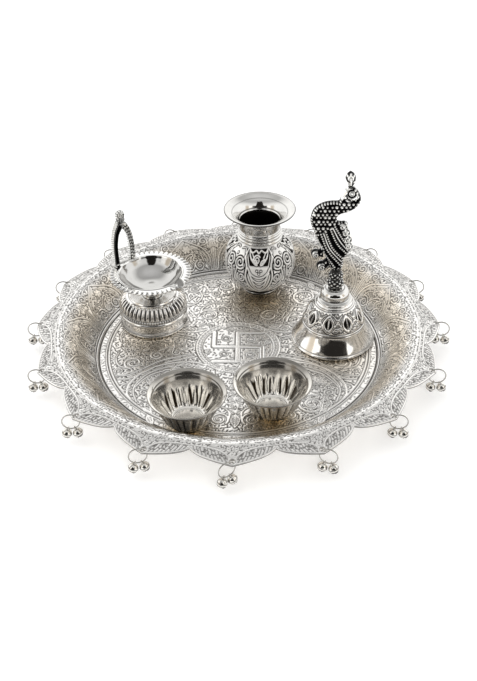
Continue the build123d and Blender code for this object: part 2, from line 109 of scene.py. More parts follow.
# ------------------------------------------------------------------ relief drawings
class Relief:
    """A drawing in relief on a flat sheet, in millimetres: raised lines and dots with a groove beside them."""

    def __init__(self, x0, x1, y0, y1, px, wrap=False):
        self.px, self.x0, self.y0, self.wrap = px, x0, y0, wrap
        self.pad = int(4 / px)
        self.nx = int(round((x1 - x0) / px)) + (0 if wrap else 1)
        self.ny = int(round((y1 - y0) / px)) + 1
        shape = (self.ny + 2 * self.pad, self.nx + 2 * self.pad)
        self.lift = np.zeros(shape, np.float32)
        self.cut = np.zeros(shape, np.float32)
        self.ground = np.zeros(shape, np.float32)
        self.tint = np.zeros(shape, np.float32)
        self.kernels = {}

    def grid(self):
        j, i = np.mgrid[0:self.lift.shape[0], 0:self.lift.shape[1]]
        return self.x0 + (i - self.pad) * self.px, self.y0 + (j - self.pad) * self.px

    def kernel(self, w, kind, edge):
        key = (round(w / 0.04), kind, edge)
        if key not in self.kernels:
            w = max(round(w / 0.04) * 0.04, 0.08)
            reach = w if kind == "lift" else w + edge
            k = int(math.ceil(reach / self.px))
            y, x = np.mgrid[-k:k + 1, -k:k + 1] * self.px
            d = np.hypot(x, y)
            if kind == "lift":
                v = np.clip(1.25 * np.sqrt(np.clip(1 - (d / (w + 0.5 * self.px)) ** 2, 0, 1)), 0, 1)
            else:
                v = np.clip(1.7 * (1 - (d - w) / edge), 0, 1)
            self.kernels[key] = (k, v.astype(np.float32))
        return self.kernels[key]

    def stamp(self, layer, points, widths, kind, gain, edge):
        h, w_ = layer.shape
        i = np.round((points[:, 0] - self.x0) / self.px).astype(int) + self.pad
        j = np.round((points[:, 1] - self.y0) / self.px).astype(int) + self.pad
        if self.wrap:
            i = (i - self.pad) % self.nx + self.pad
        for a, b, w in zip(i, j, widths):
            k, v = self.kernel(w, kind, edge)
            if a - k < 0 or b - k < 0 or a + k >= w_ or b + k >= h:
                continue
            part = layer[b - k:b + k + 1, a - k:a + k + 1]
            np.maximum(part, v * gain, out=part)

    def stroke(self, points, w=0.45, end=None, lift=0.22, groove=0.62, depth=0.28):
        p = even(points, max(self.px * 1.5, 0.18))
        widths = np.full(len(p), w) if end is None else np.linspace(w, end, len(p))
        if lift:
            self.stamp(self.lift, p, widths, "lift", lift, 0)
        if depth:
            self.stamp(self.cut, p, widths, "cut", depth, groove)

    def furrow(self, points, w=0.2, depth=0.25, groove=0.3):
        self.stroke(points, w, None, 0, groove, depth)

    def dots(self, points, r=0.5, lift=0.2, groove=0.3, depth=0.2):
        p = np.asarray(points, float).reshape(-1, 2)
        widths = np.full(len(p), r)
        self.stamp(self.lift, p, widths, "lift", lift, 0)
        if depth:
            self.stamp(self.cut, p, widths, "cut", depth, groove)

    def leaf(self, at, length, width, turn, veins=5, w=0.4, lift=0.22, bend=0.0):
        """A pointed leaf from its stalk at a point, with a midrib and slanting veins."""
        side = []
        for s in (-1, 1):
            side.append(curve([(bend * 0, 0), (s * width * 0.8 + bend * 0.2, 0.3 * length), (s * width * 0.75 + bend * 0.6, 0.62 * length), (bend, length)]))
        rib = curve([(0, 0), (bend * 0.25, 0.4 * length), (bend * 0.6, 0.7 * length), (bend, length)])
        for p in side:
            self.stroke(placed(p, at, 1, turn), w, lift=lift)
        self.stroke(placed(rib, at, 1, turn), w * 0.8, lift=lift)
        for i in range(veins):
            t = (i + 0.7) / (veins + 1)
            y = t * length
            x = bend * t ** 1.5
            for s in (-1, 1):
                tip = (x + s * width * 0.62 * math.sin(math.pi * min(1, t + 0.12)) ** 0.8, y + 0.16 * length)
                self.stroke(placed([(x, y), tip], at, 1, turn), w * 0.6, lift=lift * 0.8, groove=0.3)

    def flower(self, at, r, petals=8, turn=0.0):
        self.dots([at], r * 0.22, 0.28)
        self.stroke(arc(at, r * 0.38, 0, TAU), 0.3, lift=0.2)
        for k in range(petals):
            a = turn + k * TAU / petals
            p = curve([(0.4 * r, 0), (0.75 * r, 0.26 * r), (r, 0), (0.75 * r, -0.26 * r), (0.4 * r, 0)])
            self.stroke(placed(p, at, 1, a), 0.32, lift=0.22)
            self.stroke(placed([(0.5 * r, 0), (0.8 * r, 0)], at, 1, a), 0.25, lift=0.16)

    def paisley(self, at, size, turn, flip=False, stripes=5, w=0.45):
        edge = curve(PAISLEY, closed=True, step=0.04)
        self.stroke(placed(edge, at, size, turn, flip), w)
        inner = curve(np.array(PAISLEY) * 0.68 + [0.0, 0.05], closed=True, step=0.04)
        self.stroke(placed(inner, at, size, turn, flip), w * 0.7)
        for k in range(stripes):
            y = -0.45 + 0.9 * k / max(stripes - 1, 1)
            x = 0.55 * math.sqrt(max(0.05, 1 - (y / 0.75) ** 2))
            self.stroke(placed([(-x, y - 0.06), (x, y + 0.12)], at, size, turn, flip), w * 0.55, lift=0.18)

    def stipple(self, where, pitch=1.7, r=0.42, lift=0.14, tint=0.5, clear=True):
        """Punched ground: small bosses on a darker field, wherever nothing has been drawn yet."""
        x, y = self.grid()
        j = np.arange(self.y0, self.y0 + self.ny * self.px, pitch * 0.866)
        pts = []
        for n, yy in enumerate(j):
            xx = np.arange(self.x0 + (n % 2) * pitch / 2, self.x0 + self.nx * self.px, pitch)
            pts.append(np.stack([xx, np.full_like(xx, yy)], 1))
        p = np.vstack(pts) + rng.normal(0, pitch * 0.1, (sum(len(a) for a in pts), 2))
        i = np.clip(np.round((p[:, 0] - self.x0) / self.px).astype(int) + self.pad, 0, self.lift.shape[1] - 1)
        k = np.clip(np.round((p[:, 1] - self.y0) / self.px).astype(int) + self.pad, 0, self.lift.shape[0] - 1)
        ok = where[k, i]
        if clear:
            ok &= (self.lift[k, i] < 0.02) & (self.cut[k, i] < 0.08)
        field = where & (self.lift < 0.02)
        self.ground[field] -= 0.12
        self.tint[field] = np.maximum(self.tint[field], tint)
        p = p[ok]
        self.stamp(self.lift, p, np.full(len(p), r), "lift", lift, 0)

    def vermicelli(self, where, pitch=2.1, length=2.2, w=0.16, groove=0.26, depth=0.22, tint=0.0):
        """Chased ground: short curved cuts at all angles, wherever nothing has been drawn yet."""
        free = where & (self.lift < 0.02) & (self.cut < 0.06)
        self.tint[free] = np.maximum(self.tint[free], tint)
        n = 0
        for y in np.arange(self.y0 + 0.5, self.y0 + self.ny * self.px, pitch * 0.866):
            n += 1
            for x in np.arange(self.x0 + (n % 2) * pitch / 2, self.x0 + self.nx * self.px, pitch):
                c = np.array([x, y]) + rng.normal(0, pitch * 0.16, 2)
                a = rng.uniform(0, TAU)
                l = length * rng.uniform(0.6, 1.2)
                e = np.array([math.cos(a), math.sin(a)])
                f = np.array([-e[1], e[0]]) * rng.uniform(-0.5, 0.5) * l
                t = np.linspace(-0.5, 0.5, max(4, int(l / 0.22)))[:, None]
                q = c + e * l * t + f * (0.25 - t * t) * 2
                i = np.round((q[:, 0] - self.x0) / self.px).astype(int)
                i = (np.mod(i, self.nx) if self.wrap else i) + self.pad
                k = np.round((q[:, 1] - self.y0) / self.px).astype(int) + self.pad
                ok = (i >= 0) & (k >= 0) & (i < free.shape[1]) & (k < free.shape[0])
                ok[ok] = free[k[ok], i[ok]]
                if ok.sum() > 2:
                    self.stamp(self.cut, q[ok], np.full(int(ok.sum()), w), "cut", depth, groove)

    def done(self, blur=1):
        """Settles the height and the darkening of hollows, softened to the mesh's fineness."""
        lift, cut, ground, tint = self.lift, self.cut, self.ground, self.tint
        if self.wrap:
            p, n = self.pad, self.nx
            for layer in (lift, cut):
                np.maximum(layer[:, p:2 * p], layer[:, p + n:], out=layer[:, p:2 * p])
                np.maximum(layer[:, n:p + n], layer[:, :p], out=layer[:, n:p + n])
        up = np.clip(lift / 0.1, 0, 1)
        height = lift + (ground - cut) * (1 - up)
        dark = np.clip(np.maximum(cut / 0.25, tint), 0, 1) * (1 - up)
        if self.wrap:
            p, n = self.pad, self.nx
            height = np.concatenate([height[:, p:p + n], height[:, p:p + 1]], 1)
            dark = np.concatenate([dark[:, p:p + n], dark[:, p:p + 1]], 1)
        else:
            p = self.pad
            height, dark = height[:, p:p + self.nx], dark[:, p:p + self.nx]
        height, dark = height[self.pad:self.pad + self.ny], dark[self.pad:self.pad + self.ny]
        for _ in range(blur):
            height, dark = soften(height), soften(dark)
        self.height, self.dark = height, dark

    def at(self, x, y):
        """Height and darkness at points of the drawing."""
        u = (np.asarray(x, float) - self.x0) / self.px
        v = (np.asarray(y, float) - self.y0) / self.px
        if self.wrap:
            u = np.mod(u, self.nx)
        u = np.clip(u, 0, self.height.shape[1] - 1.001)
        v = np.clip(v, 0, self.height.shape[0] - 1.001)
        i, j = u.astype(int), v.astype(int)
        a, b = u - i, v - j
        out = []
        for m in (self.height, self.dark):
            out.append(m[j, i] * (1 - a) * (1 - b) + m[j, i + 1] * a * (1 - b) + m[j + 1, i] * (1 - a) * b + m[j + 1, i + 1] * a * b)
        return out


def soften(m):
    p = np.pad(m, 1, mode="edge")
    return (4 * p[1:-1, 1:-1] + 2 * (p[:-2, 1:-1] + p[2:, 1:-1] + p[1:-1, :-2] + p[1:-1, 2:]) + p[:-2, :-2] + p[:-2, 2:] + p[2:, :-2] + p[2:, 2:]) / 16


# ------------------------------------------------------------------ meshes
def mesh_of(name, verts, faces, oxide_and_painted_light=None, uv=None, material=None, body=None, replaces=(), slot=None, extra=None):
    """verts in millimetres; faces a list of index arrays (tris and quads); uv per face corner, alike."""
    me = bpy.data.meshes.new(name)
    sizes = np.concatenate([np.full(len(f), f.shape[1]) for f in faces])
    loops = np.concatenate([f.ravel() for f in faces]).astype(np.int32)
    me.vertices.add(len(verts))
    me.vertices.foreach_set("co", (np.asarray(verts, float) * MM).astype(np.float32).ravel())
    me.loops.add(len(loops))
    me.loops.foreach_set("vertex_index", loops)
    me.polygons.add(len(sizes))
    me.polygons.foreach_set("loop_start", np.concatenate([[0], np.cumsum(sizes)[:-1]]).astype(np.int32))
    me.update(calc_edges=True)
    me.polygons.foreach_set("use_smooth", np.ones(len(me.polygons), bool))
    # per-point darkness: oxide in hollows, and in places painted shade and painted reflection
    if oxide_and_painted_light is not None:
        a = me.attributes.new("oxide_and_painted_light", "FLOAT", "POINT")
        a.data.foreach_set("value", np.asarray(oxide_and_painted_light, np.float32).ravel())
    # warm tint per point: a warm tone on the wall and underside, and painted reflections of the vessels on the floor
    if extra is not None:
        a = me.attributes.new("warm_tint_and_painted_reflection", "FLOAT", "POINT")
        a.data.foreach_set("value", np.asarray(extra, np.float32).ravel())
    if uv is not None and len(me.loops) == len(loops):
        layer = me.uv_layers.new(name="OFBake")
        layer.data.foreach_set("uv", np.concatenate([u.reshape(-1, 2) for u in uv]).astype(np.float32).ravel())
    o = bpy.data.objects.new(name, me)
    bpy.context.scene.collection.objects.link(o)
    if material:
        me.materials.append(material)
    if body:
        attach(o, body)
    if replaces:
        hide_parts(*replaces)
    return o


def grid_faces(rows, cols, wrap, base=0):
    """Quads between rows of vertices, with their place on a unit map."""
    r = np.arange(rows - 1)[:, None]
    c = np.arange(cols if wrap else cols - 1)[None, :]
    d = (c + 1) % cols
    q = np.stack([base + r * cols + c, base + r * cols + d, base + (r + 1) * cols + d, base + (r + 1) * cols + c], -1).reshape(-1, 4)
    n = cols if wrap else cols - 1
    u0, u1 = c / n + 0 * r, (c + 1) / n + 0 * r
    v0, v1 = r / (rows - 1) + 0 * c, (r + 1) / (rows - 1) + 0 * c
    uv = np.stack([np.stack([u0, v0], -1), np.stack([u1, v0], -1), np.stack([u1, v1], -1), np.stack([u0, v1], -1)], 2).reshape(-1, 4, 2)
    return q, uv


class Profile:
    """A line to be turned about an upright axis: up the outside, over the lip and down the inside."""

    def __init__(self):
        self.points, self.zone = [], []

    def add(self, points, zone=""):
        for p in points:
            if self.points and math.hypot(p[0] - self.points[-1][0], p[1] - self.points[-1][1]) < 1e-4:
                continue
            self.points.append((float(p[0]), float(p[1])))
            self.zone.append(zone)
        return self

    def smooth(self, points, zone="", step=0.6):
        return self.add(curve(points, step=step), zone)

    def straight(self, points, zone="", radius=0.22):
        """Straight runs with softly broken corners."""
        p = np.asarray(points, float)
        out = [p[0]]
        for i in range(1, len(p) - 1):
            a, b, c = p[i - 1], p[i], p[i + 1]
            la, lc = np.hypot(*(b - a)), np.hypot(*(c - b))
            ra, rc = min(radius, la * 0.4), min(radius, lc * 0.4)
            s, e = b + (a - b) * ra / la, b + (c - b) * rc / lc
            out += [s, 0.25 * s + 0.5 * b + 0.25 * e, e]
        out.append(p[-1])
        return self.add(out, zone)


def lathe(name, profile, centre, cols, relief=None, base_z=Z0, **kw):
    p = np.array(profile.points)
    zone = np.array(profile.zone)
    t = np.gradient(p, axis=0)
    length = np.hypot(t[:, 0], t[:, 1])
    normal = np.stack([t[:, 1], -t[:, 0]], 1) / length[:, None]
    s = np.concatenate([[0], np.cumsum(np.hypot(*np.diff(p, axis=0).T))])
    th = np.arange(cols) / cols * TAU
    R = np.repeat(p[:, 0][:, None], cols, 1)
    H = np.repeat(p[:, 1][:, None], cols, 1)
    # Inward corners are darkened a little.
    turn = np.gradient(np.unwrap(np.arctan2(t[:, 1], t[:, 0]))) / np.maximum(length, 0.05)
    hollow = np.clip(-turn * 0.9, 0, 1) * 0.55
    oxide_and_painted_light = np.repeat(hollow[:, None], cols, 1)
    if relief:
        for z in sorted(set(zone)):
            m = zone == z
            got = relief(z, s[m] - s[m][0], th, R[m], H[m])
            if got is None:
                continue
            d, dark = got
            R[m] += normal[m][:, :1] * d
            H[m] += normal[m][:, 1:] * d
            oxide_and_painted_light[m] = np.maximum(oxide_and_painted_light[m], dark)
    x = centre[0] + R * np.cos(th)
    y = centre[1] + R * np.sin(th)
    v = np.stack([x, y, base_z + H], -1).reshape(-1, 3)
    rows = len(p)
    q, uv = grid_faces(rows, cols, True)
    vv = (s / s[-1])
    lo = np.floor(uv[..., 1] * (rows - 1) + 1e-6).astype(int)
    uv[..., 1] = vv[np.clip(lo, 0, rows - 1)]
    faces, uvs, cavs = [q], [uv], [oxide_and_painted_light.reshape(-1)]
    extra_v = []
    for end, row in ((0, 0), (1, rows - 1)):
        if p[row, 0] < 1.0:
            c = len(v) + len(extra_v)
            extra_v.append([centre[0], centre[1], base_z + p[row, 1]])
            j = np.arange(cols)
            k = (j + 1) % cols
            a, b = row * cols + j, row * cols + k
            tri = np.stack([b, a, np.full(cols, c)], 1) if end == 0 else np.stack([a, b, np.full(cols, c)], 1)
            faces.append(tri)
            m = np.stack([np.stack([(j + 1) / cols, np.full(cols, end * 1.0)], 1), np.stack([j / cols, np.full(cols, end * 1.0)], 1), np.stack([(j + 0.5) / cols, np.full(cols, end * 1.0)], 1)], 1)
            uvs.append(m)
            cavs.append([0.0])
    if extra_v:
        v = np.vstack([v, extra_v])
    return mesh_of(name, v, faces, np.concatenate(cavs), uvs, **kw)


# ------------------------------------------------------------------ materials
def metal(name, base, dark, rough, rough_dark, strength=1.0, warm_tint_and_painted_reflection=None, scratch=0.12, blotch=0.06, scale=90.0, bump=0.15, metallic=1.0):
    """Plated metal: bright on high points, dull and dark where the mesh attribute says: oxide in the hollows, and in
    places painted shade and painted reflection.
    """
    m = bpy.data.materials.new(name)
    m.use_nodes = True
    nt = m.node_tree
    nt.nodes.clear()
    out = nt.nodes.new("ShaderNodeOutputMaterial")
    bsdf = nt.nodes.new("ShaderNodeBsdfPrincipled")
    nt.links.new(bsdf.outputs[0], out.inputs[0])
    bsdf.inputs["Metallic"].default_value = metallic
    where = nt.nodes.new("ShaderNodeTexCoord")
    att = nt.nodes.new("ShaderNodeAttribute")
    att.attribute_name = "oxide_and_painted_light"
    noise = nt.nodes.new("ShaderNodeTexNoise")
    noise.inputs["Scale"].default_value = scale
    noise.inputs["Detail"].default_value = 5.0
    nt.links.new(where.outputs["Object"], noise.inputs["Vector"])
    fine = nt.nodes.new("ShaderNodeTexNoise")
    fine.inputs["Scale"].default_value = scale * 14
    fine.inputs["Detail"].default_value = 3.0
    nt.links.new(where.outputs["Object"], fine.inputs["Vector"])
    # amount of oxide in hollows and of painted shade and reflection, broken up a little by the noise
    amount = nt.nodes.new("ShaderNodeMath")
    amount.operation = "MULTIPLY"
    amount.inputs[1].default_value = strength
    nt.links.new(att.outputs["Fac"], amount.inputs[0])
    lift = nt.nodes.new("ShaderNodeMapRange")
    lift.inputs["From Min"].default_value = 0.3
    lift.inputs["From Max"].default_value = 0.7
    lift.inputs["To Min"].default_value = 1 - blotch
    lift.inputs["To Max"].default_value = 1 + blotch
    nt.links.new(noise.outputs["Fac"], lift.inputs["Value"])
    base_mix = nt.nodes.new("ShaderNodeMix")
    base_mix.data_type = "RGBA"
    base_mix.inputs["A"].default_value = (*base, 1)
    base_mix.inputs["B"].default_value = (*dark, 1)
    nt.links.new(amount.outputs[0], base_mix.inputs["Factor"])
    colour = base_mix.outputs["Result"]
    # warm tint from the mesh attribute; on the plate floor it is a painted reflection of the vessels
    if warm_tint_and_painted_reflection is not None:
        wa = nt.nodes.new("ShaderNodeAttribute")
        wa.attribute_name = "warm_tint_and_painted_reflection"
        wm = nt.nodes.new("ShaderNodeMix")
        wm.data_type = "RGBA"
        wm.blend_type = "MULTIPLY"
        wm.inputs["B"].default_value = (*warm_tint_and_painted_reflection, 1)
        nt.links.new(wa.outputs["Fac"], wm.inputs["Factor"])
        nt.links.new(colour, wm.inputs["A"])
        colour = wm.outputs["Result"]
    shade = nt.nodes.new("ShaderNodeMix")
    shade.data_type = "RGBA"
    shade.blend_type = "MULTIPLY"
    shade.inputs["Factor"].default_value = 1.0
    nt.links.new(colour, shade.inputs["A"])
    nt.links.new(lift.outputs["Result"], shade.inputs["B"])
    nt.links.new(shade.outputs["Result"], bsdf.inputs["Base Color"])
    ro = nt.nodes.new("ShaderNodeMapRange")
    ro.inputs["To Min"].default_value = rough
    ro.inputs["To Max"].default_value = rough_dark
    nt.links.new(amount.outputs[0], ro.inputs["Value"])
    ra = nt.nodes.new("ShaderNodeMath")
    ra.operation = "MULTIPLY_ADD"
    ra.inputs[1].default_value = scratch
    nt.links.new(fine.outputs["Fac"], ra.inputs[0])
    nt.links.new(ro.outputs["Result"], ra.inputs[2])
    nt.links.new(ra.outputs[0], bsdf.inputs["Roughness"])
    if metallic < 1.0:
        sp = nt.nodes.new("ShaderNodeMapRange")
        sp.inputs["To Min"].default_value = 0.5
        sp.inputs["To Max"].default_value = 0.0
        nt.links.new(amount.outputs[0], sp.inputs["Value"])
        nt.links.new(sp.outputs["Result"], bsdf.inputs["Specular IOR Level"])
    if bump:
        bn = nt.nodes.new("ShaderNodeBump")
        bn.inputs["Strength"].default_value = bump
        bn.inputs["Distance"].default_value = 0.0002
        nt.links.new(fine.outputs["Fac"], bn.inputs["Height"])
        nt.links.new(bn.outputs["Normal"], bsdf.inputs["Normal"])
    return m


PLATE = metal("plate_silver", (0.96, 0.945, 0.925), (0.045, 0.039, 0.033), 0.18, 0.5, 1.0, warm_tint_and_painted_reflection=(0.82, 0.67, 0.45), scratch=0.10)
SILVER = metal("silver_polished", (0.74, 0.73, 0.71), (0.02, 0.017, 0.014), 0.05, 0.4, 1.0, scratch=0.06, bump=0.05)
BRIGHT = metal("silver_embossed", (0.95, 0.935, 0.91), (0.009, 0.008, 0.007), 0.06, 0.4, 1.0, scratch=0.06, bump=0.05)
POT = metal("silver_repousse", (0.98, 0.965, 0.94), (0.008, 0.007, 0.006), 0.09, 0.4, 1.0, scratch=0.06, bump=0.05, metallic=0.38)
DARK = metal("silver_oxidised", (0.97, 0.97, 0.95), (0.003, 0.003, 0.0035), 0.07, 0.38, 1.0, scratch=0.06, bump=0.1)
BOWLS = metal("bowl_silver", (0.98, 0.95, 0.895), (0.026, 0.017, 0.008), 0.04, 0.16, 1.0, scratch=0.06, bump=0.06, metallic=0.90)
DISH = metal("dish_silver", (0.90, 0.89, 0.87), (0.02, 0.017, 0.014), 0.04, 0.09, 1.0, scratch=0.05, bump=0.04)
WIRE = metal("wire_silver", (0.42, 0.41, 0.39), (0.08, 0.075, 0.07), 0.16, 0.4, 1.0, scratch=0.08, bump=0.1)
BALLS = metal("ghungroo_silver", (0.86, 0.84, 0.80), (0.006, 0.005, 0.004), 0.06, 0.35, 1.0, scratch=0.08, bump=0.1)

# ------------------------------------------------------------------ plate drawings
WALL = [(97.5, 1.2), (99.4, 2.3), (101.6, 4.6), (104.8, 8.6), (108.8, 13.3), (113.0, 17.6), (117.0, 20.8), (120.4, 22.8), (123.5, 23.5), (127.0, 23.3), (133.0, 22.2), (141.5, 20.3)]
UNDER = [(97.9, 0.0), (100.2, 1.1), (102.4, 3.5), (105.6, 7.6), (109.7, 12.3), (113.8, 16.6), (117.6, 19.7), (120.8, 21.8), (123.5, 22.5), (126.9, 22.3), (132.8, 21.2), (141.5, 19.3)]


def draw_floor():
    f = Relief(-98, 98, -98, 98, 0.15)

    def put(points, k, flip=False):
        """Local u sideways and v outwards; k quarter turns from the front."""
        p = np.asarray(points, float).reshape(-1, 2) * ([-1, 1] if flip else [1, 1])
        q = np.stack([p[:, 0], -p[:, 1]], 1)
        a = k * math.pi / 2
        c, s = math.cos(a), math.sin(a)
        return q @ np.array([[c, s], [-s, c]])

    # rings at the edge of the well
    for r, w in ((90.4, 0.6), (92.5, 0.4)):
        f.stroke(arc((0, 0), r, 0, TAU), w, lift=0.18)
    # medallion
    for r, w in ((29.2, 0.7), (25.4, 0.5)):
        f.stroke(arc((0, 0), r, 0, TAU), w, lift=0.24)
    for i in range(56):
        a = i / 56 * TAU
        b = a + 0.045
        f.stroke([(26.3 * math.cos(a), 26.3 * math.sin(a)), (28.3 * math.cos(b), 28.3 * math.sin(b))], 0.36, lift=0.18, groove=0.3)
    # the auspicious sign with its four dots: arms outlined, turning to the right
    L, W = 18.6, 1.6
    arm = [(0, 0), (0, L - W), (L - 1.6, L - W)]
    for k in range(4):
        a = -k * math.pi / 2
        p = placed(arm, (0, 0), 1, a)
        for q0, q1 in zip(p[:-1], p[1:]):
            f.stroke([q0, q1], W, lift=0.3, groove=0.75, depth=0.36)
        c = placed([(9.4, 8.6)], (0, 0), 1, a)[0]
        f.dots([c], 1.3, 0.26, 0.45, 0.3)
        f.stroke(arc(c, 2.5, 0, TAU), 0.35, lift=0.2)
        f.stroke(placed(spiral((-20.9, -6.0), 2.3, 0.5, 1.2, 1.5), (0, 0), 1, a), 0.4, lift=0.2)

    # large petals to the front and back
    outer = curve([(21.5, 21.5), (28, 18.4), (37, 17.4), (52, 20.5), (64, 28), (71.5, 40), (72.8, 50), (69.5, 57.8)])
    inner = curve([(20, 25.5), (28, 21.9), (37, 21.0), (51, 24.2), (61.2, 31), (67.6, 41.5), (68.6, 50), (65.5, 60)])
    for k in (0, 2):
        for flip in (False, True):
            P = lambda q: put(q, k, flip)
            f.stroke(P(outer), 0.7, lift=0.26)
            f.stroke(P(inner), 0.5, lift=0.22)
            # bold volute and the small ones about it
            f.stroke(P(spiral((49.5, 62.5), 10.0, 1.4, -1.2, -1.9)), 1.15, 0.6, lift=0.28)
            f.stroke(P(curve([(53.1, 53.2), (46, 49.5), (38, 50.5), (31, 56), (28.5, 64), (31, 72)])), 0.9, 0.5, lift=0.26)
            f.stroke(P(spiral((34.5, 73.5), 5.2, 0.9, 3.0, 1.6)), 0.7, 0.45, lift=0.24)
            f.stroke(P(spiral((10.5, 77.5), 6.2, 1.0, 2.4, 1.8)), 0.85, 0.5, lift=0.26)
            f.stroke(P(curve([(5.9, 81.7), (4, 76), (4.5, 70), (9, 65.5), (15, 64)])), 0.8, 0.4, lift=0.24)
            f.stroke(P(spiral((17.5, 67.2), 3.4, 0.7, -1.6, 1.5)), 0.55, 0.4)
            f.stroke(P(spiral((22, 38.5), 7.0, 1.1, 0.4, 1.8)), 0.8, 0.5, lift=0.25)
            f.stroke(P(curve([(28.5, 41.2), (27, 48), (21, 53.5), (13, 55), (6, 51)])), 0.75, 0.4, lift=0.24)
            f.stroke(P(spiral((39.5, 33), 5.4, 0.9, 3.6, -1.6)), 0.7, 0.45, lift=0.24)
            f.stroke(P(curve([(34.7, 30.6), (38, 40), (46, 44), (55, 45.5)])), 0.65, 0.35)
            f.flower(P([(55.5, 37.5)])[0], 5.6, 8, 0.2)
            f.flower(P([(20.5, 79.5)])[0], 4.0, 6, 0.1)
            f.stroke(P(spiral((61.5, 50.5), 3.6, 0.7, 2.2, 1.5)), 0.5, 0.4)
            f.stroke(P(spiral((46.3, 77), 3.4, 0.7, 0.2, 1.5)), 0.5, 0.4)
            f.stroke(P(spiral((12.5, 45.5), 3.6, 0.7, 2.0, -1.5)), 0.5, 0.4)
            for (u, v), ln, wd, tn in (((47, 24.5), 13, 3.0, -1.25), ((31, 26), 10, 2.6, -1.9), ((14, 31), 10, 2.4, -2.6), ((39, 60), 9, 2.3, 2.4), ((57, 74), 9, 2.2, -0.5), ((60.5, 66), 8, 2.0, -0.9)):
                a = P([(u, v)])[0]
                b = P([(u + ln * math.cos(tn + math.pi / 2 + math.pi), v - ln * math.sin(tn + math.pi / 2 + math.pi))])[0]
                f.leaf(a, ln, wd, math.atan2(b[1] - a[1], b[0] - a[0]) - math.pi / 2, 5, 0.38)
        # stem with pairs of leaves, and a bud
        f.stroke(put(curve([(0, 31.5), (1.3, 37.5), (-1.3, 44), (1.3, 50.5), (-1.3, 57), (1.2, 63.5), (0, 72)]), k), 0.4, 0.34, lift=0.2)
        for v in (36, 42.5, 49, 55.5, 62, 68.5):
            for flip in (False, True):
                a, b = put([(0.4, v), (4.4, v + 4.8)], k, flip)
                f.leaf(a, 6.4, 1.7, math.atan2(b[1] - a[1], b[0] - a[0]) - math.pi / 2, 3, 0.32)
        a, b = put([(0, 73), (0, 87)], k)
        f.leaf(a, 13, 3.2, math.atan2(b[1] - a[1], b[0] - a[0]) - math.pi / 2, 6, 0.42)
    # narrow petals to the sides
    outer = curve([(11.5, 30.5), (14.5, 40), (19, 52), (28, 63), (35.5, 73), (36.5, 80.5)])
    inner = curve([(8.5, 31.5), (11.5, 41), (16, 53.5), (25, 65), (32, 74.5), (33, 82.5)])
    for k in (1, 3):
        for flip in (False, True):
            P = lambda q: put(q, k, flip)
            f.stroke(P(outer), 0.7, lift=0.26)
            f.stroke(P(inner), 0.5, lift=0.22)
            f.stroke(P(spiral((18.5, 72), 6.4, 1.0, 0.2, 1.8)), 0.85, 0.5, lift=0.26)
            f.stroke(P(curve([(24.8, 73.2), (22, 81), (14, 84.5), (6, 83)])), 0.7, 0.4)
            f.stroke(P(spiral((9.6, 56.5), 4.6, 0.8, 2.5, -1.7)), 0.7, 0.45)
            f.stroke(P(spiral((6.4, 43), 3.4, 0.7, 2.5, -1.5)), 0.5, 0.4)
            f.stroke(P(spiral((27.5, 80.5), 2.8, 0.6, 1.0, 1.4)), 0.5, 0.4)
            # scrolls in the corner between the petals
            f.stroke(P(spiral((30, 47), 4.6, 0.8, 2.2, 1.7)), 0.7, 0.45, lift=0.24)
            f.stroke(P(curve([(27.2, 50.6), (31, 58), (38, 64), (45, 68)])), 0.7, 0.4)
            f.stroke(P(spiral((44.6, 74), 4.2, 0.8, -0.8, 1.7)), 0.7, 0.45, lift=0.24)
            f.stroke(P(spiral((21, 33.5), 3.4, 0.7, 3.6, 1.5)), 0.55, 0.4)
            f.stroke(P(curve([(18.2, 35.4), (22, 42), (27.5, 45)])), 0.55, 0.35)
            a, b = P([(35, 52)])[0], P([(41.5, 60.5)])[0]
            f.leaf(a, 10, 2.4, math.atan2(b[1] - a[1], b[0] - a[0]) - math.pi / 2, 5, 0.38)
        f.stroke(put(curve([(0, 32), (1.2, 38), (-1.2, 45), (1.2, 52), (-1.2, 59), (0, 67)]), k), 0.4, 0.34, lift=0.2)
        f.flower(put([(0, 74)], k)[0], 6.2, 8)
        for v in (36, 45, 51, 62):
            for flip in (False, True):
                a, b = put([(0.4, v), (4.2, v + 4.6)], k, flip)
                f.leaf(a, 6.0, 1.6, math.atan2(b[1] - a[1], b[0] - a[0]) - math.pi / 2, 3, 0.32)

    x, y = f.grid()
    r = np.hypot(x, y)
    # which part of the floor is inside a petal
    inside = np.zeros_like(r, bool)
    for k, edge in ((0, [(0, 30), (20, 25.5), (28, 21.9), (37, 21.0), (51, 24.2), (61.2, 31), (67.6, 41.5), (68.6, 50), (65.5, 60), (70, 70), (0, 120)]),
                    (1, [(0, 30), (8.5, 31.5), (11.5, 41), (16, 53.5), (25, 65), (32, 74.5), (33, 82.5), (33, 100), (0, 100)])):
        e = np.array(edge, float)
        for quarter in (k, k + 2):
            a = -quarter * math.pi / 2
            u = np.abs(x * math.cos(a) - y * math.sin(a))
            v = -(x * math.sin(a) + y * math.cos(a))
            hit = np.zeros_like(inside)
            for (x0, y0), (x1, y1) in zip(e, np.roll(e, -1, 0)):
                if y0 == y1:
                    continue
                c = ((y0 > v) != (y1 > v)) & (u < (x1 - x0) * (v - y0) / (y1 - y0) + x0)
                hit ^= c
            inside |= hit & (v > 0)
    f.vermicelli(inside & (r < 89.6) & (r > 30), 2.7, 2.0, 0.13, 0.33, 0.25, 0.0)
    f.vermicelli((r < 24.6), 3.6, 1.8, 0.14, 0.32, 0.22, 0.0)
    f.vermicelli(~inside & (r < 89.6) & (r > 30.2), 2.9, 2.2, 0.13, 0.33, 0.25, 0.0)
    f.vermicelli((r > 93.4) & (r < 96.4), 2.8, 2.2, 0.13, 0.26, 0.18, 0.0)
    m = r > 96.6
    f.cut[m] = np.maximum(f.cut[m], 0.28 * np.clip((r[m] - 96.6) / 0.5, 0, 1))
    f.done()
    return f


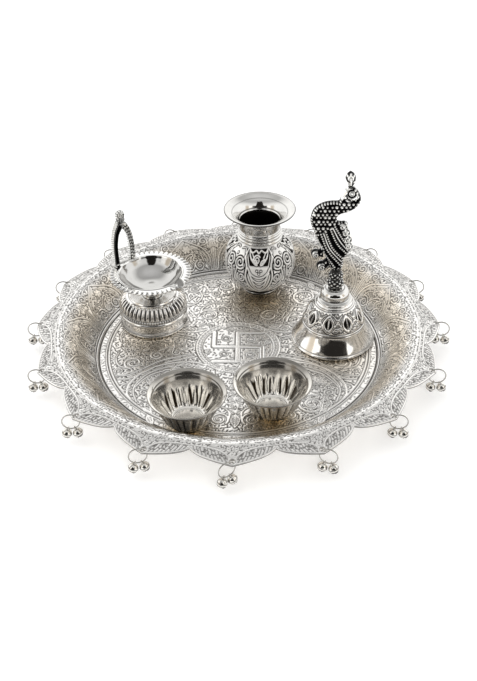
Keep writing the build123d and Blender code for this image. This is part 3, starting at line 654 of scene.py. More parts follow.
def draw_wall(width, height):
    """One sixteenth of the wall: x round the plate, y up the slope."""
    w = Relief(0, width, 0, height, 0.15, wrap=True)
    c = width / 2
    for y, t in ((1.4, 0.5), (3.2, 0.35)):
        w.stroke([(0, y), (width - 0.01, y)], t, lift=0.2)
    for x in (0.0, 1.7, width - 1.7):
        w.stroke([(x, 3.2), (x, height - 5.5)], 0.3 if x else 0.5, lift=0.18, groove=0.4, depth=0.22)
    for s in (-1, 1):
        w.stroke(curve([(c + s * 18.6, 4), (c + s * 17.4, 14), (c + s * 13, 21.5), (c + s * 6, 26.5), (c, 31)]), 0.55, lift=0.22, groove=0.5, depth=0.26)
        w.stroke(curve([(c + s * 16.3, 4), (c + s * 15.2, 13.4), (c + s * 11.3, 19.8), (c + s * 5.2, 24.3), (c, 28)]), 0.3, lift=0.16, groove=0.4, depth=0.2)
        w.stroke(spiral((c + s * 9.2, 8.4), 4.4, 0.8, 1.2, s * 1.7), 0.6, 0.4)
        w.stroke(curve([(c + s * 12.6, 11.2), (c + s * 11, 16), (c + s * 7, 18.6)]), 0.5, 0.3)
        w.stroke(spiral((c + s * 14.6, 27.4), 3.6, 0.7, -1.2, s * 1.6), 0.55, 0.4)
        w.stroke(curve([(c + s * 11.5, 29.6), (c + s * 7, 31.4), (c + s * 2.5, 31.6)]), 0.45, 0.3)
        w.leaf((c + s * 18.2, 20.5), 9, 2.1, -s * 0.35, 4, 0.36)
    w.paisley((c, 9.6), 4.6, 0.0, False, 5, 0.5)
    w.flower((c - 0.5, 22.3), 3.2, 6)
    x, y = w.grid()
    low = 8.0 + 5.5 * np.sqrt(np.clip(1 - (2 * np.mod(x / width * 2, 1.0) - 1) ** 2, 0, 1))
    upper = (y > low) & (y < height - 0.2)
    w.vermicelli(upper, 1.9, 1.3, 0.15, 0.29, 0.22, 0.02)
    w.vermicelli((y > 0.2) & (y <= low), 3.0, 2.2, 0.15, 0.32, 0.23, 0.0)
    w.done()
    return w


def edge_at(off):
    """Distance of the scalloped edge from the centre, off the nearest tip by this angle in degrees."""
    t = np.clip(np.abs(off) / (180 / LOBES), 0, 1)
    return 130 + 10 * (1 - 0.75 * t - 0.25 * t ** 6)


def draw_brim():
    """One lobe: x along the edge at radius 132, y outwards from the crest."""
    half = 11.25
    k = 132 * math.pi / 180
    b = Relief(-half * k, half * k, -1, 18, 0.12)
    b.stroke([(-half * k, 1.5), (half * k, 1.5)], 0.3, lift=0.14, groove=0.35, depth=0.2)
    off = np.linspace(-half, half, 240)
    rim = np.stack([off * k, edge_at(off) - 123.5], 1)
    b.stroke(rim - [0, 0.4], 0.4, lift=0.2, groove=0.4, depth=0.26)
    for s in (-1, 1):
        lower = curve([(s * 1.2, 12.6), (s * 3.4, 9.2), (s * 8, 6.3), (s * 14, 4.6), (s * 20, 4.0), (s * 25.6, 3.9)])
        b.stroke(lower, 0.36, lift=0.18, groove=0.4, depth=0.24)
        for i in range(12):
            t = (i + 0.6) / 12.2
            p0 = lower[int(t * (len(lower) - 1))]
            x1 = p0[0] - s * (1.6 + 2.4 * (1 - t))
            y1 = float(edge_at(x1 / k) - 123.5) - 1.5
            if y1 - p0[1] < 0.8:
                continue
            mid = ((p0[0] + x1) / 2 + s * 0.5, (p0[1] + y1) / 2)
            b.furrow(curve([(p0[0] * 0.97 + x1 * 0.03, p0[1] + 0.9), mid, (x1, y1)]), 0.16, 0.18, 0.28)
        # small scroll under the tip
        b.stroke(spiral((s * 2.6, 5.6), 1.5, 0.4, 1.6, s * 1.2), 0.3, lift=0.16, groove=0.45)
        b.stroke(curve([(s * 4.4, 5.2), (s * 9, 4.0), (s * 14, 3.2)]), 0.26, lift=0.14, groove=0.4)
    b.dots([(0, 8.2), (0, 10.0)], 0.5, 0.2)
    b.stroke(arc((0, 13.5), 2.4, 0, TAU), 0.3, lift=0.18, groove=0.4)
    x, y = b.grid()
    top = edge_at(x / k) - 123.5 - 2.6
    b.vermicelli((y > -0.9) & (y < top), 2.0, 1.7, 0.14, 0.29, 0.22, 0.0)
    b.done()
    return b


def build_plate():
    n = 480
    cols = 4 * n
    floor = draw_floor()
    # floor: a square net drawn out to a disc
    g = np.linspace(-1, 1, n + 1)
    a, b = np.meshgrid(g, g)
    wide = np.abs(a) > np.abs(b)
    with np.errstate(divide="ignore", invalid="ignore"):
        rr = np.where(wide, a, b)
        ph = np.where(wide, math.pi / 4 * np.where(a == 0, 0, b / np.where(a == 0, 1, a)), math.pi / 2 - math.pi / 4 * np.where(b == 0, 0, a / np.where(b == 0, 1, b)))
    x, y = 97.5 * rr * np.cos(ph), 97.5 * rr * np.sin(ph)
    h, d = floor.at(x, y)
    verts = [np.stack([x, y, 1.2 + h], -1).reshape(-1, 3)]
    oxide_and_painted_light = [d.ravel()]
    # painted reflection: warm patches on the floor just in front of each vessel, standing in for the vessel mirrored in
    # the floor
    tone = np.zeros_like(x)
    for (cx, cy), reach, gain in ((KALASH, 25.0, 0.8), (DIYA, 22.0, 0.6), (BOWL_L, 15.0, 1.0), (BOWL_R, 15.0, 1.0), (BELL, 22.0, 0.6)):
        tone = np.maximum(tone, gain * np.exp(-((x - cx) / reach) ** 2 - ((y - cy + 0.95 * reach) / reach) ** 2))
    warm_tint_and_painted_reflection = [tone.ravel()]
    i = np.arange(n)
    q = (i[:, None] * (n + 1) + i[None, :]).reshape(-1)
    faces = [np.stack([q, q + 1, q + n + 2, q + n + 1], 1)]
    k = np.arange(n)
    first = np.concatenate([k * (n + 1) + n, n * (n + 1) + (n - k), (n - k) * (n + 1), k])
    ang = -math.pi / 4 + np.arange(cols) / cols * TAU
    off = (np.degrees(ang) + 90 + 11.25) % 22.5 - 11.25

    top = curve(WALL, step=0.1)
    s = np.concatenate([[0], np.cumsum(np.hypot(*np.diff(top, axis=0).T))])
    s_crest = float(np.interp(123.5, top[:, 0], s))
    sector = 22.5 * math.pi / 180 * 110
    wall = draw_wall(sector, s_crest)
    brim = draw_brim()
    tang = np.gradient(top, axis=0)
    tang /= np.hypot(tang[:, 0], tang[:, 1])[:, None]

    def on_top(r, lift):
        z = np.interp(r, top[:, 0], top[:, 1])
        tr, tz = np.interp(r, top[:, 0], tang[:, 0]), np.interp(r, top[:, 0], tang[:, 1])
        return r - tz * lift, z + tr * lift

    rows = []
    row_cav, row_warm = [], []
    for u in np.linspace(0, s_crest, 84)[1:]:
        r0 = float(np.interp(u, s, top[:, 0]))
        hh, dd = wall.at((off + 11.25) / 22.5 * sector, np.full(cols, u))
        fade = min(1, u / 0.6, max(0, (s_crest - u) / 0.5))
        r, z = on_top(np.full(cols, r0), hh * fade)
        rows.append(np.stack([r * np.cos(ang), r * np.sin(ang), z], 1))
        row_cav.append(np.maximum(dd * fade, 0.4 * max(0, 1 - u / 0.9)))
        row_warm.append(np.full(cols, 0.42 * min(1, max(0, u - 6) / 8) * min(1, max(0, (s_crest - u - 3) / 8))))
    edge = edge_at(off)
    for q in np.linspace(0, 1, 44)[1:]:
        r0 = 123.5 + q * (edge - 123.5)
        hh, dd = brim.at(off * 132 * math.pi / 180, r0 - 123.5)
        r, z = on_top(r0, hh)
        rows.append(np.stack([r * np.cos(ang), r * np.sin(ang), z], 1))
        row_cav.append(dd)
        row_warm.append(np.zeros(cols))
    n_top = len(rows)
    under = curve(UNDER, step=0.2)
    for push, mix in ((0.16, 0.3), (0.16, 0.7)):
        z = (1 - mix) * np.interp(edge, top[:, 0], top[:, 1]) + mix * np.interp(edge, under[:, 0], under[:, 1])
        r = edge + push
        rows.append(np.stack([r * np.cos(ang), r * np.sin(ang), z], 1))
        row_cav.append(np.full(cols, 0.75))
        row_warm.append(np.zeros(cols))
    for q in np.linspace(1, 0, 14):
        r = 123.5 + q * (edge - 123.5)
        rows.append(np.stack([r * np.cos(ang), r * np.sin(ang), np.interp(r, under[:, 0], under[:, 1])], 1))
        row_cav.append(np.full(cols, 0.1))
        row_warm.append(np.full(cols, 0.12))
    for u in np.linspace(1, 0, 26)[1:]:
        m = under[under[:, 0] <= 123.5]
        r0, z0 = m[int(round(u * (len(m) - 1)))]
        rows.append(np.stack([r0 * np.cos(ang), r0 * np.sin(ang), np.full(cols, max(z0, 0))], 1))
        row_cav.append(np.full(cols, 0.1))
        row_warm.append(np.full(cols, 0.12))
    for r0 in (96.5, 90, 70, 45, 20, 4):
        rows.append(np.stack([r0 * np.cos(ang), r0 * np.sin(ang), np.zeros(cols)], 1))
        row_cav.append(np.full(cols, 0.06))
        row_warm.append(np.full(cols, 0.12))
    base = (n + 1) ** 2
    ring = np.vstack([r[None] for r in rows])
    verts.append(ring.reshape(-1, 3))
    oxide_and_painted_light.append(np.array(row_cav).ravel())
    warm_tint_and_painted_reflection.append(np.array(row_warm).ravel())
    j = np.arange(cols)
    nxt = (j + 1) % cols
    faces.append(np.stack([first[j], base + j, base + nxt, first[nxt]], 1))
    qq, _ = grid_faces(len(rows), cols, True, base)
    faces.append(qq[:, ::-1])
    centre = base + len(rows) * cols
    verts.append(np.array([[0, 0, 0.0]]))
    oxide_and_painted_light.append([0.06])
    warm_tint_and_painted_reflection.append([0.12])
    last = base + (len(rows) - 1) * cols
    faces.append(np.stack([last + nxt, last + j, np.full(cols, centre)], 1))
    v = np.vstack(verts)
    cv = np.concatenate([np.asarray(c, float).ravel() for c in oxide_and_painted_light])
    wm = np.concatenate([np.asarray(c, float).ravel() for c in warm_tint_and_painted_reflection])
    # pierced holes at the tips: nearby points go onto the circle, and the faces inside it go
    for k in range(LOBES):
        phi = math.radians(k * 22.5 - 90)
        c = np.array([137.0 * math.cos(phi), 137.0 * math.sin(phi)])
        dist = np.hypot(v[:, 0] - c[0], v[:, 1] - c[1])
        near = np.abs(dist - 1.7) < 0.34
        v[near, :2] = c + (v[near, :2] - c) * (1.7 / dist[near])[:, None]
        dist[near] = 1.7
        within = dist < 1.705
        for f in range(len(faces)):
            m = within[faces[f]].all(1)
            if m.any():
                faces[f] = faces[f][~m]
    tube_v, tube_f = [], []
    start = len(v)
    t = np.arange(20) / 20 * TAU
    for k in range(LOBES):
        phi = math.radians(k * 22.5 - 90)
        c = (137.0 * math.cos(phi), 137.0 * math.sin(phi))
        for up in (False, True):
            r = np.hypot(c[0] + 1.7 * np.cos(t), c[1] + 1.7 * np.sin(t))
            src = top if up else under
            tube_v.append(np.stack([c[0] + 1.7 * np.cos(t), c[1] + 1.7 * np.sin(t), np.interp(r, src[:, 0], src[:, 1]) + (0.05 if up else -0.02)], 1))
        b0 = start + k * 40
        i = np.arange(20)
        i1 = (i + 1) % 20
        tube_f.append(np.stack([b0 + i1, b0 + i, b0 + 20 + i, b0 + 20 + i1], 1))
    v = np.vstack([v] + tube_v)
    cv = np.concatenate([cv, np.full(len(v) - len(cv), 0.5)])
    wm = np.concatenate([wm, np.zeros(len(v) - len(wm))])
    faces.append(np.vstack(tube_f))
    below = np.zeros(len(v), bool)
    below[base + (n_top + 1) * cols:start] = True
    uvs = []
    for f in faces:
        m = below[f].all(1)
        p = v[f][:, :, :2]
        u = 0.41 + p / 284 * 0.80
        u[m] = np.stack([0.905 + p[m][..., 0] / 284 * 0.17, 0.905 + p[m][..., 1] / 284 * 0.17], -1)
        uvs.append(u)
    return mesh_of("plate_embossed", v, faces, cv, uvs, PLATE, "plate", ["thali_plate"], "plate_silver", extra=wm)


build_plate()


# ------------------------------------------------------------------ rings and ghungroo
def torus(centre, ax, ay, az, R, r, nu, nv):
    u = np.arange(nu) / nu * TAU
    w = np.arange(nv) / nv * TAU
    U, W = np.meshgrid(u, w, indexing="ij")
    d = np.cos(U)[..., None] * ax + np.sin(U)[..., None] * ay
    p = centre + d * (R + r * np.cos(W))[..., None] + az * (r * np.sin(W))[..., None]
    i = np.arange(nu)[:, None]
    j = np.arange(nv)[None, :]
    i1, j1 = (i + 1) % nu, (j + 1) % nv
    f = np.stack([i * nv + j, i1 * nv + j, i1 * nv + j1, i * nv + j1], -1).reshape(-1, 4)
    uv = np.stack([np.stack([i / nu + 0 * j, j / nv + 0 * i], -1), np.stack([(i + 1) / nu + 0 * j, j / nv + 0 * i], -1), np.stack([(i + 1) / nu + 0 * j, (j + 1) / nv + 0 * i], -1), np.stack([i / nu + 0 * j, (j + 1) / nv + 0 * i], -1)], 2).reshape(-1, 4, 2)
    return p.reshape(-1, 3), f, uv


def ball(centre, ax, ay, az, R, nu=36, nv=26):
    """A jingle bell: az points down to its slit. A seam runs round it, and punched rings stand at its sides."""
    v = np.linspace(0, math.pi, nv)
    u = np.arange(nu) / nu * TAU
    V, U = np.meshgrid(v, u, indexing="ij")
    side = np.cos(U) * np.sin(V) * R
    along = np.sin(U) * np.sin(V) * R
    drop = -np.cos(V) * R
    r = np.ones_like(V)
    seam = np.abs(V - math.pi / 2) * R
    r += 0.05 * np.exp(-(seam / 0.28) ** 2)
    cavv = 0.95 * np.exp(-((seam - 0.72) / 0.3) ** 2)
    slit = ((np.abs(side) < 0.45) | (np.abs(along) < 0.45)) & (drop > 0.7)
    r[slit] -= 0.13
    cavv[slit] = 1.0
    top = (np.abs(np.sin(3 * U)) < 0.33) & (drop < -0.9) & (drop > -2.6)
    cavv[top] = 0.9
    # painted shade: alternate petals on the lower half of the bell are darkened
    lower = (drop > 0.5) & (np.sin(2 * U + 0.6) > 0.1)
    cavv[lower] = np.maximum(cavv[lower], 0.85)
    for s in (-1, 1):
        eye = np.hypot(side, drop - 1.5) + (np.sign(along) != s) * 9
        m = eye < 0.75
        r[m] -= 0.09
        cavv[m] = 1.0
    neck = V < 0.35
    cavv[neck] = np.maximum(cavv[neck], 0.6)
    p = centre + (side * r)[..., None] * ax + (along * r)[..., None] * ay + (drop * r)[..., None] * az
    f, uv = grid_faces(nv, nu, True)
    return p.reshape(-1, 3), f[:, ::-1], uv[:, ::-1], cavv.ravel()


for k in range(LOBES):
    phi = math.radians(k * 22.5 - 90)
    radial = np.array([math.cos(phi), math.sin(phi), 0])
    along = np.array([-math.sin(phi), math.cos(phi), 0])
    psi = math.radians(RING_TURN[k])
    out = radial * math.cos(psi) + along * math.sin(psi)
    up = np.array([0, 0, 1.0])
    normal = np.cross(out, up)
    mid = 22.2 - (22.2 - 20.3) * (137.3 - 133.0) / 8.5 - 0.5
    centre = radial * 137.3 + out * 3.775 + up * (mid - 4.0)
    p, f, uv = torus(centre, out, up, normal, 5.5, 0.42, 72, 12)
    tone = np.zeros(len(p))
    mesh_of(f"ring_{k + 1:02d}", p, [f], tone, [uv], WIRE, f"hanger_{k + 1:02d}", [f"jump_ring_{k + 1:02d}"], "wire")
    vs, fs, us, cs = [], [], [], []
    n0 = 0
    for q, side in enumerate((-1, 1)):
        beta = math.radians(side * 20.6)
        down = out * math.sin(beta) - up * math.cos(beta)
        wire = out * math.cos(beta) + up * math.sin(beta)
        p, f, uv, c = ball(centre + down * 9.8, normal, wire, down, 3.22)
        vs.append(p); fs.append(f + n0); us.append(uv * [0.45, 0.9] + [q * 0.5, 0]); cs.append(c)
        n0 += len(p)
        p, f, uv = torus(centre + down * 5.7, normal, down, wire, 1.15, 0.3, 20, 8)
        vs.append(p); fs.append(f + n0); us.append(uv * [0.45, 0.06] + [q * 0.5, 0.93]); cs.append(np.full(len(p), 0.25))
        n0 += len(p)
    mesh_of(f"ghungroo_{k + 1:02d}", np.vstack(vs), fs, np.concatenate(cs), us, BALLS, f"hanger_{k + 1:02d}", [f"ghungroo_pair_{k + 1:02d}"], "ghungroo")


# ------------------------------------------------------------------ bowls
def bowl(name, centre, phase):
    outer = [(12.8, 0.9), (14.8, 3.4), (17.6, 8.8), (20.1, 14.3), (21.6, 17.9), (23.2, 20.6), (25.2, 21.9)]
    inner = [(25.0, 22.65), (22.8, 21.4), (20.9, 18.4), (19.3, 14.6), (16.8, 9.2), (13.9, 3.9), (11.6, 1.4)]
    p = Profile()
    p.straight([(0.4, 0.0), (10.5, 0.0), (12.2, 0.0), (12.8, 0.9)], "foot")
    p.smooth(outer, "out", 0.45)
    p.straight([(25.2, 21.9), (25.45, 22.25), (25.0, 22.65)], "lip")
    p.smooth(inner, "in", 0.45)
    p.straight([(11.6, 1.4), (10.2, 0.95), (9.9, 1.15), (9.5, 1.15), (9.2, 0.95), (0.4, 0.95)], "disc")

    def relief(zone, s, th, R, H):
        # painted reflection: the lip is darkened evenly all round
        if zone == "lip":
            return 0 * R, 0.72 + 0 * R
        if zone not in ("in", "out"):
            return None
        ragged = 0.9 * np.cos(5 * th + phase) + 0.7 * np.sin(17 * th + 2 * phase) + 0.5 * np.sin(29 * th)
        top = 18.6 if zone == "out" else 13.4 + ragged[None, :]
        amount = np.clip((H - 1.6) / 2.2, 0, 1) * np.clip((top - H) / (2.0 if zone == "out" else 4.5), 0, 1)
        wave = np.cos(26 * th + phase + 0.5 * np.sin(7 * th) + 0.35 * np.sin(11 * th + 1.0))[None, :] * np.ones_like(R)
        shape = np.sign(wave) * np.abs(wave) ** 0.7
        each = 0.8 + 0.3 * np.sin(5.0 * th + 2 * phase) + 0.25 * np.sin(13 * th + phase)
        d = 0.55 * shape * amount * each[None, :]
        if zone == "in":
            d = -d
            # painted reflection: dark streaks over the flutes, each with a strength of its own and leaning a little,
            # weighted towards the far side
            lean = th[None, :] + 0.012 * (H - 6) * np.sin(3 * th + phase)[None, :]
            painted_reflection_streak = 0.5 * np.sin(17 * lean + 3 * phase) + 0.55 * np.sin(26 * lean + phase) + 0.4 * np.sin(41 * lean + 1.3)
            front = 0.45 + 0.55 * np.clip(2 * np.sin(th), 0, 1)[None, :]
            dark = np.clip((painted_reflection_streak - 0.1) * 3.4, 0, 1) * front * np.clip(amount * 2.0, 0, 1)
            # painted reflection: the smooth upper inside is darkened, more on the far side and varying round the bowl
            painted_upper_reflection = np.clip((H - top + 2.0) / 5.0, 0, 1)
            far = 0.15 + 0.85 * np.clip(0.35 + 1.3 * np.sin(th), 0, 1)
            dark = np.maximum(dark, painted_upper_reflection * ((0.66 + 0.16 * np.cos(th + 0.4) - 0.12 * np.sin(2 * th + phase)) * far)[None, :])
        else:
            # painted reflection: the whole outside is darkened, in nine soft bands, and the flute valleys more
            dark = np.maximum(np.clip(-shape, 0, 1) ** 2 * amount, 0.3 + 0.2 * np.sin(9 * th + phase)[None, :] + 0 * R)
        ring = np.exp(-((H - 20.2) / 0.3) ** 2)
        d = d - 0.22 * ring
        dark = np.maximum(dark, 0.85 * ring)
        return d, np.clip(dark, 0, 1)

    return lathe(name, p, centre, 608, relief, material=BOWLS, body=name.replace("fluted_", ""), replaces=[name.replace("fluted_", "")], slot="silver")


bowl("fluted_bowl_left", BOWL_L, 0.4)
bowl("fluted_bowl_right", BOWL_R, 1.9)

# ------------------------------------------------------------------ kalash
pot_outer = [(13.2, 3.0), (18.2, 5.8), (22.6, 11.0), (25.5, 17.5), (26.4, 24.0), (25.6, 31.0), (22.4, 37.6), (17.0, 42.0)]


def draw_kalash(width, height):
    """A quarter of the pot: x round it, y up its side."""
    w = Relief(0, width, 0, height, 0.12, wrap=True)
    c = width / 2
    bold = dict(lift=0.4, groove=0.9, depth=0.7)
    fine = dict(lift=0.3, groove=0.55, depth=0.55)
    x, y = w.grid()
    w.stroke([(0, 2.4), (width - 0.01, 2.4)], 0.4, lift=0.2)
    # crown under the neck: scrolls on a dark ground
    crown = (y > 28.6) & (y < 39.6) & (np.abs(x - c) < 7.0 + (y - 28.6) * 0.42)
    w.tint[crown] = 1.0
    w.stroke(spiral((c - 1.6, 32.6), 3.1, 0.5, 0.6, 1.8), 0.5, 0.36, **fine)
    w.stroke(curve([(c - 10.4, 39.4), (c - 6.4, 37.0), (c - 2.6, 38.6), (c, 36.8), (c + 2.6, 38.6), (c + 6.4, 37.0), (c + 10.4, 39.4)]), 0.55, **fine)
    for s in (-1, 1):
        w.stroke(curve([(c + s * 2.6, 29.6), (c + s * 6.4, 33.0), (c + s * 9.6, 38.2)]), 0.6, 0.4, **fine)
        w.stroke(curve([(c + s * 4.0, 33.6), (c + s * 6.0, 36.2)]), 0.45, 0.3, **fine)
        w.leaf((c + s * 1.2, 29.0), 5.4, 1.2, -s * 0.75, 2, 0.3, 0.3)
        # border of the panel
        w.stroke(curve([(c + s * 11.4, 40.4), (c + s * 11.6, 34), (c + s * 9.4, 28), (c + s * 10.0, 20), (c + s * 6.4, 10.5), (c, 4.8)]), 0.62, **bold)
        # vines with spirals in the field between
        w.stroke(spiral((c + s * 15.6, 29.4), 4.4, 0.7, 4.0 if s > 0 else 5.4, s * 1.9), 0.62, 0.42, **bold)
        w.stroke(spiral((c + s * 13.8, 19.4), 3.5, 0.6, 0.6 if s > 0 else 2.5, -s * 1.8), 0.58, 0.4, **bold)
        w.stroke(curve([(c + s * 17.6, 25.4), (c + s * 18.6, 20.4), (c + s * 17.0, 15.0), (c + s * 12.6, 11.2)]), 0.6, 0.4, **bold)
        w.stroke(spiral((c + s * 10.4, 12.2), 2.4, 0.5, 2.6, s * 1.4), 0.45, 0.34, **fine)
        w.stroke(curve([(c + s * 12.6, 36.0), (c + s * 14.8, 39.0), (c + s * 18.6, 38.4)]), 0.5, 0.34, **fine)
        w.stroke(curve([(c + s * 12.0, 26.4), (c + s * 12.8, 30.4), (c + s * 12.2, 34.2)]), 0.45, 0.3, **fine)
        w.leaf((c + s * 11.4, 7.2), 8.4, 1.7, -s * 1.2, 3, 0.34, 0.3)
        w.leaf((c + s * 19.6, 9.6), 6.6, 1.5, s * 0.4, 3, 0.32, 0.3)
    # swags below the crown
    for n in range(4):
        a = 8.4 - 1.1 * n
        w.stroke(curve([(c - a, 27.0 - 3.3 * n), (c - a * 0.62, 22.6 - 3.5 * n), (c, 20.6 - 3.6 * n), (c + a * 0.62, 22.6 - 3.5 * n), (c + a, 27.0 - 3.3 * n)]), 0.66 - 0.07 * n, lift=0.4, groove=0.55, depth=0.5)
    w.dots([(c - 1.5, 25.6), (c + 1.5, 25.6), (c, 23.6)], 0.6, 0.4, 0.6, 0.4)
    w.dots([(0.02, 12.6), (0.02, 25.5), (0.02, 34.6)], 0.85, 0.4, 0.6, 0.4)
    w.done(2)
    return w


def build_kalash():
    p = Profile().straight([(11.0, 0.05), (13.8, 0.05), (14.4, 0.6), (14.0, 1.4), (13.2, 2.0), (13.2, 3.0)], "foot")
    p.straight([(13.2, 3.0), (11.0, 3.0), (11.0, 0.05)], "in")
    lathe("kalash_foot_ring", p, KALASH, 160, lambda zone, s, th, R, H: (0 * R, np.where(np.abs(H - 1.9) < 0.6, 1.0, 0.25) + 0 * R), material=SILVER, body="kalash", replaces=["kalash_foot"], slot="silver")

    p = Profile().straight([(0.4, 3.0), (10, 3.0), (13.2, 3.0)], "base")
    outer = curve(pot_outer, step=0.32)
    p.add(outer, "out")
    p.straight([(17.0, 42.0), (15.9, 42.9), (14.4, 43.0)], "top")
    inside = [(14.4, 43.0), (16.0, 41.2), (21.4, 36.9), (24.5, 30.8), (25.3, 24.0), (24.4, 17.8), (21.7, 11.7), (17.6, 6.8), (12.6, 4.1)]
    p.smooth(inside, "in", 1.0)
    p.straight([(12.6, 4.1), (6, 4.1), (0.4, 4.1)], "bottom")
    s_all = float(np.hypot(*np.diff(outer, axis=0).T).sum())
    quarter = TAU * 26.0 / 4
    art = draw_kalash(quarter, s_all / 1.2)

    def relief(zone, s, th, R, H):
        # painted shade: the inside and the inner bottom of the pot are black
        if zone in ("in", "bottom"):
            return 0 * R, 1.0 + 0 * R
        if zone != "out":
            return None
        x = ((th / TAU * 4 + 0.5 + 0.02) % 1.0) * quarter
        h, d = art.at(np.repeat(x[None, :], len(s), 0), np.repeat(s[:, None] / 1.2, len(th), 1))
        return h, np.clip(2.3 * d - 0.1, 0, 1)

    lathe("kalash_pot", p, KALASH, 560, relief, material=POT, body="kalash", replaces=["kalash_body"], slot="silver")

    p = Profile().straight([(14.4, 43.0), (15.6, 43.0)], "a")
    p.smooth([(15.6, 43.0), (16.7, 43.9), (16.9, 44.8), (16.5, 45.6), (15.6, 46.1)], "bead", 0.25)
    p.smooth([(15.6, 46.1), (16.3, 46.7), (16.4, 47.3), (16.2, 47.9), (15.5, 48.4)], "bead2", 0.2)
    p.smooth([(15.5, 48.4), (16.0, 48.9), (16.1, 49.4), (15.9, 49.9), (15.4, 50.3)], "bead3", 0.2)
    p.straight([(15.4, 50.3), (15.35, 52.4), (15.4, 54.6)], "c")
    p.smooth([(15.4, 54.6), (15.8, 57.0), (17.3, 60.0), (20.1, 62.7), (23.6, 64.7), (26.2, 65.5)], "flare", 0.4)
    p.smooth([(26.2, 65.5), (26.45, 66.0), (26.2, 66.5)], "lip", 0.2)
    p.smooth([(26.2, 66.5), (23.4, 65.7), (19.5, 63.5), (16.5, 60.3), (14.9, 57.2), (14.4, 54.6)], "in", 0.35)
    p.straight([(14.4, 54.6), (14.4, 49), (14.4, 43.0)], "throat")

    def relief(zone, s, th, R, H):
        # painted shade: the throat inside the neck is black, and the inside of the flare turns black in its lowest part
        if zone == "throat":
            return 0 * R, 1.0 + 0 * R
        if zone == "in":
            bead = np.exp(-((H - 57.4) / 0.5) ** 2)
            line = np.exp(-((R - 20.4) / 0.3) ** 2)
            step = np.exp(-((H - 58.7) / 0.4) ** 2)
            edge = np.exp(-((R - 26.0) / 0.3) ** 2)
            return 0.35 * bead - 0.15 * line, np.maximum(np.clip((56.6 - H) / 0.6, 0, 1.0), 0.5 * line + 0.85 * step + 0.5 * edge)
        if zone == "lip":
            return 0 * R, 0.8 + 0 * R
        return None

    lathe("kalash_rim", p, KALASH, 224, relief, material=SILVER, body="kalash", replaces=["kalash_neck"], slot="silver")


build_kalash()

# ------------------------------------------------------------------ hand bell
cup_outer = [(29.2, 1.5), (27.4, 4.4), (24.8, 8.6), (22.9, 12.4), (21.8, 15.4), (20.8, 19.0), (19.3, 22.8), (17.1, 26.6), (14.3, 30.0), (11.4, 32.6)]


def draw_bell(width, height):
    """One ninth of the band round the bell: x round it, y up its side."""
    w = Relief(0, width, 0, height, 0.12, wrap=True)
    c = width / 2
    x, y = w.grid()
    for yy, t in ((0.9, 0.5), (height - 1.2, 0.45)):
        w.stroke([(0, yy), (width - 0.01, yy)], t, lift=0.28, groove=0.6, depth=0.4)
    # a dark leaf with a bright rib, and scrolls about it
    t = np.clip((y - 3.6) / 11.0, 0, 1)
    leaf = (np.abs(x - c) < 3.5 * np.sin(math.pi * t ** 0.85) ** 0.9) & (y > 3.6) & (y < 14.6)
    w.tint[leaf] = 1.0
    for s in (-1, 1):
        w.stroke(curve([(c, 3.2), (c + s * 3.1, 6.6), (c + s * 3.6, 9.8), (c + s * 2.0, 12.6), (c, 14.8)]), 0.8, lift=0.5, groove=0.7, depth=0.5)
        w.stroke(spiral((c + s * 5.4, 5.2), 1.8, 0.45, 3.4, s * 1.3), 0.42, 0.34, lift=0.36, groove=0.7, depth=0.45)
        w.stroke(curve([(c + s * 4.8, 7.6), (c + s * 6.6, 10.6), (c + s * 5.2, 13.6), (c + s * 3.0, 15.4)]), 0.5, 0.34, lift=0.4, groove=0.8, depth=0.48)
    w.stroke([(c, 4.4), (c, 13.4)], 0.42, 0.3, lift=0.42, groove=0.4, depth=0.4)
    w.dots([(0.02, 9.0), (0.02, 12.4), (0.02, 15.2)], 0.75, 0.42, 0.7, 0.45)
    w.vermicelli((y > 1.6) & (y < height - 1.8) & ~leaf, 4.2, 1.5, 0.14, 0.26, 0.2, 0.0)
    w.done(2)
    return w


